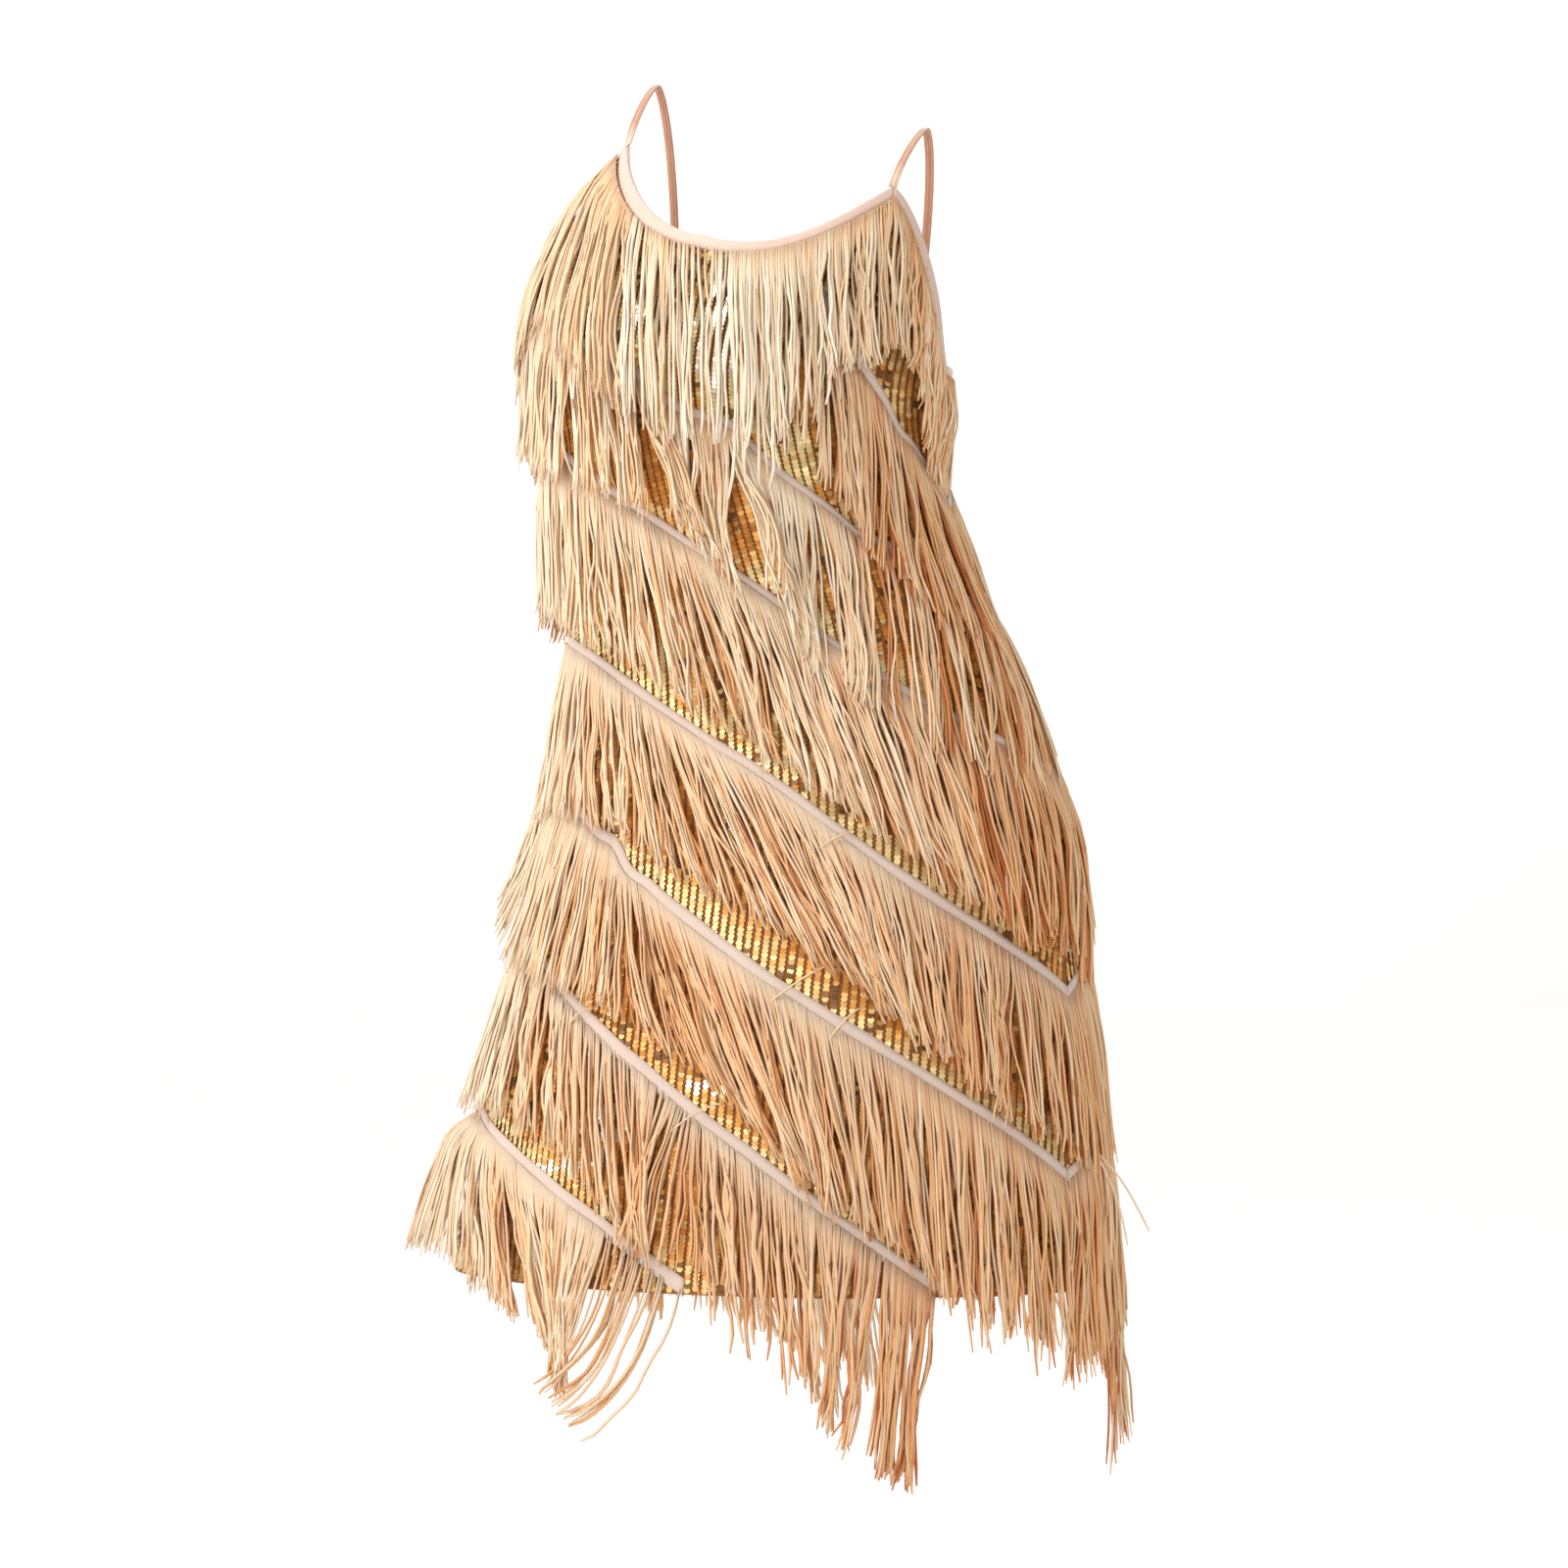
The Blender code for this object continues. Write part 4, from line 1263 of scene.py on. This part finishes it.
def clump(places, middle_width, rng):
    """Splits places along a row into clumps of chance widths. Gives each place's clump number and
    how far it is from its clump's middle."""
    span = places.max() - places.min()
    widths = middle_width * np.exp(rng.normal(0, 0.45, int(span / middle_width * 2.5) + 8))
    edges = places.min() + np.concatenate([[-0.5 * widths[0]], np.cumsum(widths)])
    number = np.searchsorted(edges, places) - 1
    return number, places - (edges[number] + edges[number + 1]) / 2


def sew(line, bunches, rng):
    """Strands sewn evenly along a line, give or take a little, at the density of its densest
    bunch. By chance, some are left out where a bunch has fewer, and some are underlayer."""
    fine = np.linspace(*line.span, 400)
    head_line = line.height(fine)
    travelled = lengths_along(panel_point(fine, head_line))
    densest = max([1.0] + [bunch.share for bunch in bunches])
    count = int(travelled[-1] * YARNS_PER_METRE * densest)
    places = (np.arange(count) + rng.uniform(0.1, 0.9, count)) / count * travelled[-1]
    angles = np.interp(places, travelled, fine)
    share_kept = np.ones(count)
    for bunch in bunches:
        share_kept[between(angles, bunch)] = bunch.share
    kept = rng.random(count) < share_kept / densest
    places, angles = places[kept], angles[kept]
    heads = np.interp(places, travelled, head_line)
    level = 1 / np.interp(places, travelled, steepness(fine, head_line))
    under = rng.random(len(places)) < UNDERLAYER
    big, from_big = clump(places, BIG_CLUMP, rng)
    small, from_small = clump(places, SMALL_CLUMP, rng)
    return Strands(places, angles, heads, level, under, big, from_big, small, from_small)


def gather(strands, bunches, length, rng):
    """What its bunch does to each strand: its new length, and how far its tip moves towards the
    bunch's middle, along the row, out, which chance varies from clump to clump, and up."""
    length = length.copy()
    pull, along, out, up = np.zeros((4, len(length)))
    for bunch in bunches:
        inside = between(strands.angles, bunch)
        if not inside.any():
            continue
        places, small = strands.places[inside], strands.small
        pull[inside] = bunch.gather * (places - places.mean())
        along[inside] = bunch.along
        out[inside] = bunch.out * rng.uniform(-0.4, 1.2, small.max() + 1)[small[inside]]
        up[inside] = bunch.up
        length[inside] *= bunch.longer
    return length, pull, along, out, up


def wander(share, group, size, speed, rng):
    """A sideways wave along each strand that grows from nothing at its head. Strands of a group
    share its size, its speed and where it starts."""
    groups = group.max() + 1
    size = np.abs(rng.normal(0, size, groups))[group][:, None]
    speed = (speed * rng.uniform(0.6, 1.3, groups))[group][:, None]
    start = rng.uniform(0, WANDER_STARTS, groups)[group][:, None]
    return size * ease(share * 2) * (np.sin(speed * share + start) - np.sin(start))


def hang_plumb(strands, heights, aside):
    """The turn round the body of strands that hang plumb from their heads, but for how far they
    are moved aside, and how far the body under them falls back from where it stood out most
    above. Also gives the way out of the body at their heads."""
    turns = turned(strands.angles, strands.heads)[:, None]
    head, round_it, _, out, speed = body_frame(turns[:, 0], strands.heads)
    below = body_point(turns, heights) - head[:, None]
    drift = np.sum(below * unit(round_it * LEVEL)[:, None], axis=-1)
    clear = np.sum(below * unit(out * LEVEL)[:, None], axis=-1)
    turns = turns + np.degrees((aside - drift) / speed[:, None])
    return turns, np.maximum.accumulate(clear, axis=1) - clear, out


def in_shade(covers, angle, height):
    """How far a place is in the shade of the rows above: 1 behind their strands, and less and
    less below their tips."""
    shade = np.zeros(height.shape)
    for cover in covers:
        reach = columns_of(cover.hangs, angle)[-1]
        below = cover.height(angle) - reach - height
        fade = np.exp(-np.maximum(below, 0) / ROW_SHADE_FADE)
        shade = np.maximum(shade, between(angle, cover) * fade)
    return shade


def at_left(angles):
    """1 round the wearer's left side, from 65 to 110 degrees, easing to 0 by 25 and by 160."""
    return ease((angles - 25) / 40) * (1 - ease((angles - 110) / 50))


def at_right(angles):
    """1 within 25 degrees of the front's right side seam, easing to 0 by 75 degrees from it."""
    return 1 - ease((np.abs(angles + 90) - 25) / 50)


def strand_tones(side, name, strands, clump_tone, shade, rng):
    """Tone of each strand along it: the row's paleness, its clump's and its own by chance, less
    for the underlayer and at the wearer's left, which is painted shade, the table's painted light
    and shade, and less in shade."""
    habit, left = HABITS[name], at_left(strands.angles)
    tones = YARN_TONE + habit.paleness + clump_tone
    tones = tones + rng.normal(0, YARN_TONE_CHANCE, len(tones))
    behind = habit.behind + LEFT_DARKER_BEHIND * left
    tones = tones - np.where(strands.under, behind, 0.0) - LEFT_DARKER * left
    tones = with_bumps(tones, PAINTED_LIGHT_AND_SHADE, side, name, strands.angles)
    return np.clip(tones[:, None] - shade, DARKEST, PALEST)


def make_fringe(side, name, line, hangs, puff, covers, yarn, rng):
    """The yarns of one row. Each hangs from its place on the row's line by its own length and
    moves along the row by the sum of: the row's lean, the pull towards the middle of its large
    and small clumps, each clump's own sway, its bunch's gathering, and wandering. It stands out
    from the body by the frame's flare, its row's puff, what it needs to hang plumb past a
    hollow, the row's swing, its layer, and what its clump and bunch add. Under a binding it is
    in shade. Its head is greyed with painted shade just below its tape or binding, and all of it
    is greyed at the wearer's right, a painted highlight where the key lamp lights it."""
    habit = HABITS[name]
    bunches = of_row(BUNCHES, side, name)
    strands = sew(line, bunches, rng)
    _, angles, heads, level, under, big, from_big, small, from_small = strands
    count, clumps = len(angles), big.max() + 1
    narrow = rng.beta(1.5, 3.4, clumps)[big] * NARROWING * habit.parting
    narrow = np.minimum(narrow, MOST_NARROWING)
    sway = rng.normal(0, CLUMP_SWAY * habit.parting, clumps)[big]
    clump_tone = rng.normal(0, CLUMP_TONE_CHANCE, clumps)[big]
    clump_lift = rng.normal(0, CLUMP_LIFT, clumps)[big]
    narrow = np.where(under, narrow * 0.35, narrow)
    sway = np.where(under, sway * 0.5, sway)

    lean, swing, length = columns_of(hangs, angles)
    chance = rng.normal(0, YARN_LENGTH, count) + rng.normal(0, CLUMP_LENGTH, clumps)[big]
    length = length * (1 + chance)
    length, pull, along, tip_out, tip_up = gather(strands, bunches, length, rng)
    for longer in of_row(LONGER, side, name):
        chosen = between(angles, longer) & (rng.random(count) < longer.share)
        length = np.where(chosen, length * rng.uniform(1.0, longer.times, count), length)

    share = np.linspace(0, 1, YARN_STEPS)[None, :]
    fall = length[:, None] * share
    settle = ease(share / 0.75)
    straighten = STRAIGHTENS.get(f"{side}_{name}", STRAIGHTENS_LATE)
    aside = np.tan(np.radians(lean))[:, None] * straighten * (1 - np.exp(-fall / straighten))
    aside = aside - (narrow * from_big * level)[:, None] * settle
    aside = aside - (SMALL_NARROWING * from_small * level)[:, None] * ease(share / 0.4)
    aside = aside + sway[:, None] * share**1.6
    aside = aside - (pull * level)[:, None] * settle
    aside = aside + along[:, None] * share**2
    aside = aside + wander(share, small, CLUMP_WANDER, CLUMP_WANDER_SPEED, rng)
    aside = aside + wander(share, np.arange(count), YARN_WANDER, YARN_WANDER_SPEED, rng)
    aside = aside + rng.normal(0, TIP_SPREAD, count)[:, None] * ease(share)
    curl = ease((share - CURL_START) / (1 - CURL_START)) ** 2
    aside = aside + rng.normal(0, TIP_CURL, count)[:, None] * curl

    down = np.sqrt(np.maximum(fall**2 - aside**2, (0.5 * fall) ** 2))
    heights = heads[:, None] - down + tip_up[:, None] * share**3
    turns, hollow, out = hang_plumb(strands, heights, aside)
    layer = np.where(under, UNDERLAYER_LIFT, rng.uniform(0, OVERLAYER_LIFT, count))[:, None]
    puffed = with_bumps(np.full(count, puff), PUFFS, side, name, angles)
    lift = TAPE_LIFT + YARN_LIFT + FRINGE_FLARE * fall
    lift = lift + puffed[:, None] * np.minimum(fall / PUFF_DROP, 1.0)
    lift = lift + 0.9 * hollow + swing[:, None] * share**1.5 + layer * ease(share * 4)
    lift = lift + clump_lift[:, None] * share + tip_out[:, None] * share**2
    lift = lift + wander(share, small, LIFT_WANDER, LIFT_WANDER_SPEED, rng)
    lift = np.maximum(lift, TAPE_LIFT * ease(share * 6))
    paths = body_point(turns, heights, lift)

    shade = ROW_SHADE * in_shade(covers, turns + twist(heights), heights)
    if name == "a":
        shade = shade + BINDING_SHADE * bell(fall, BINDING_SHADE_FALL)
    tones = strand_tones(side, name, strands, clump_tone, shade, rng)
    # Painted grey: shade on the heads below their tape or binding, less at the wearer's left, and a
    # washed-out highlight round the front's lit right side
    stitched = habit.stitched * (1 - 0.5 * at_left(angles))[:, None] * np.exp(-fall / PAINTED_GREY_FALL)
    stitched = np.maximum(stitched, RIGHT_GREYED * at_right(angles)[:, None])
    widths = YARN_WIDTH * np.exp(rng.normal(0, 0.16, count))
    points, quads, ends = yarn_tubes(paths, out, widths, widths * YARN_DEPTH)
    return make_piece(
        f"yarns_{side}_{name}",
        points,
        quads,
        yarn,
        "fringe_yarn",
        [f"fringe_{side}_{name}"],
        triangles=ends,
        tone=np.repeat(tones, 3),
        stitched=np.repeat(stitched, 3),
    )


def make_fringes(side, yarn, tape):
    """The top fringe of a panel, which hangs from under its satin, then its sloping rows, each
    with its tape. Every row shades those below it, and has its own seed."""
    panel = PANELS[side]
    hangs = np.array(panel.hangs["a"])
    line = Line((panel.first + 0.3, panel.last - 0.3), partial(under_binding, side))
    rng = np.random.default_rng(panel.fringe_seed)
    made = [make_fringe(side, "a", line, hangs, panel.puff, [], yarn, rng)]
    covers = [Cover(panel.first, panel.last, panel.top_of, hangs)]
    for number, row in enumerate(panel.rows, 1):
        hangs = np.array(panel.hangs[row.name])
        line = Line((row.start + 0.2, row.end - 0.2), partial(under_tape, side, row))
        rng = np.random.default_rng(panel.fringe_seed + number)
        made.append(make_tape(side, row, tape))
        made.append(make_fringe(side, row.name, line, hangs, ROW_PUFF, covers, yarn, rng))
        covers.append(Cover(row.start, row.end, partial(tape_height, side, row), hangs))
    return made


def make_thread_ends(side, yarn):
    """Loose ends of thread that lie across the tapes: each a shallow arc from above its tape to
    below it, standing a little off the strands."""
    rows = {row.name: row for row in PANELS[side].rows}
    share = np.linspace(0, 1, 14)
    paths, outward = [], []
    for end in THREAD_ENDS:
        if end.side == side:
            angle = end.start + (end.end - end.start) * share
            offset = end.above - (end.above + end.below) * share**1.3
            height = tape_height(side, rows[end.row], angle) + offset
            lift = THREAD_LIFT + THREAD_ARCH * np.sin(np.pi * share) + end.out * share**1.4
            paths.append(panel_point(angle, height, lift))
            outward.append(body_frame(turned(angle[7], height[7]), height[7])[3])
    widths = np.full(len(paths), THREAD_WIDTH)
    points, quads, ends = yarn_tubes(np.array(paths), np.array(outward), widths, widths)
    return make_piece(
        f"thread_ends_{side}",
        points,
        quads,
        yarn,
        "fringe_yarn",
        triangles=ends,
        tone=np.full(len(points), THREAD_TONE),
        stitched=np.zeros(len(points)),
    )


# Stage


def make_sky():
    """White light all round, strongest from above, behind and the wearer's right: its strength
    is a level plus a slope times how nearly a direction faces that way."""
    world = bpy.data.worlds.new("studio")
    world.use_nodes = True
    nodes, links = world.node_tree.nodes, world.node_tree.links
    direction = nodes.new("ShaderNodeTexCoord").outputs["Generated"]
    facing = nodes.new("ShaderNodeVectorMath")
    facing.operation = "DOT_PRODUCT"
    facing.inputs[1].default_value = SKY_BRIGHTEST
    strength = nodes.new("ShaderNodeMath")
    strength.operation = "MULTIPLY_ADD"
    strength.inputs[1].default_value = SKY_SLOPE
    strength.inputs[2].default_value = SKY_LEVEL
    links.new(direction, facing.inputs[0])
    links.new(facing.outputs["Value"], strength.inputs[0])
    nodes["Background"].inputs["Color"].default_value = (1.0, 0.992, 0.98, 1.0)
    links.new(strength.outputs[0], nodes["Background"].inputs["Strength"])
    bpy.context.scene.world = world


def aim(name, data, middle, azimuth, elevation, distance):
    """Stands a lamp or camera so many degrees round from the front and up, and so far from the
    middle that it faces."""
    turn, rise = np.radians(azimuth), np.radians(elevation)
    toward = Vector((np.sin(turn) * np.cos(rise), -np.cos(turn) * np.cos(rise), np.sin(rise)))
    piece = bpy.data.objects.new(name, data)
    piece.location = Vector(middle) + toward * distance
    piece.rotation_euler = toward.to_track_quat("Z", "Y").to_euler()
    bpy.context.scene.collection.objects.link(piece)
    return piece


def make_stage():
    """A wide pale floor well below the dress, soft light all round, a large soft key light from
    high on the wearer's right and a weaker one from the front."""
    corners = np.array([(-1, -1), (1, -1), (1, 1), (-1, 1)]) * FLOOR_HALF_WIDTH
    points = np.column_stack([corners, np.full(4, FLOOR_HEIGHT)])
    mesh = bpy.data.meshes.new("floor")
    mesh.from_pydata(points.tolist(), [], [(0, 1, 2, 3)])
    floor = bpy.data.objects.new("floor", mesh)
    bpy.context.scene.collection.objects.link(floor)
    pale = Finish("pale_floor")
    pale.set(base_color=(0.97, 0.97, 0.97), roughness=0.9)
    pale.set(emission_color=(1.0, 1.0, 1.0), emission_strength=0.05)
    mesh.materials.append(pale.material)
    make_sky()
    for lamp in LAMPS:
        light = bpy.data.lights.new(lamp.name, "AREA")
        light.energy, light.size = lamp.watts, lamp.size
        aim(lamp.name, light, LAMPS_AIM, lamp.azimuth, lamp.elevation, lamp.distance)


def make_camera():
    """A long lens from the wearer's left of centre, a little below the middle of the dress."""
    camera = bpy.data.cameras.new("camera")
    camera.lens, camera.sensor_width = 85.0, 36.0
    view = aim("camera", camera, CAMERA_AIM, azimuth=22.0, elevation=-2.0, distance=2.64)
    bpy.context.scene.camera = view


def make_dress():
    """All the pieces."""
    ground, shine, satin = ground_finish(), sequin_finish(), satin_finish()
    tape, yarn = tape_finish(), yarn_finish()
    bindings = make_bindings(satin)
    ribbon = ribbon_finish()
    straps = [make_strap("ribbon_right", -1, ribbon), make_strap("ribbon_left", 1, ribbon)]
    for side, panel in PANELS.items():
        cloth = make_panel(side, ground)
        sequins = make_sequins(side, shine, np.random.default_rng(panel.sequin_seed))
        fringes = make_fringes(side, yarn, tape)
        fringes.append(make_thread_ends(side, yarn))


bpy.context.scene.view_settings.view_transform = "Standard"
make_stage()
make_camera()
make_dress()
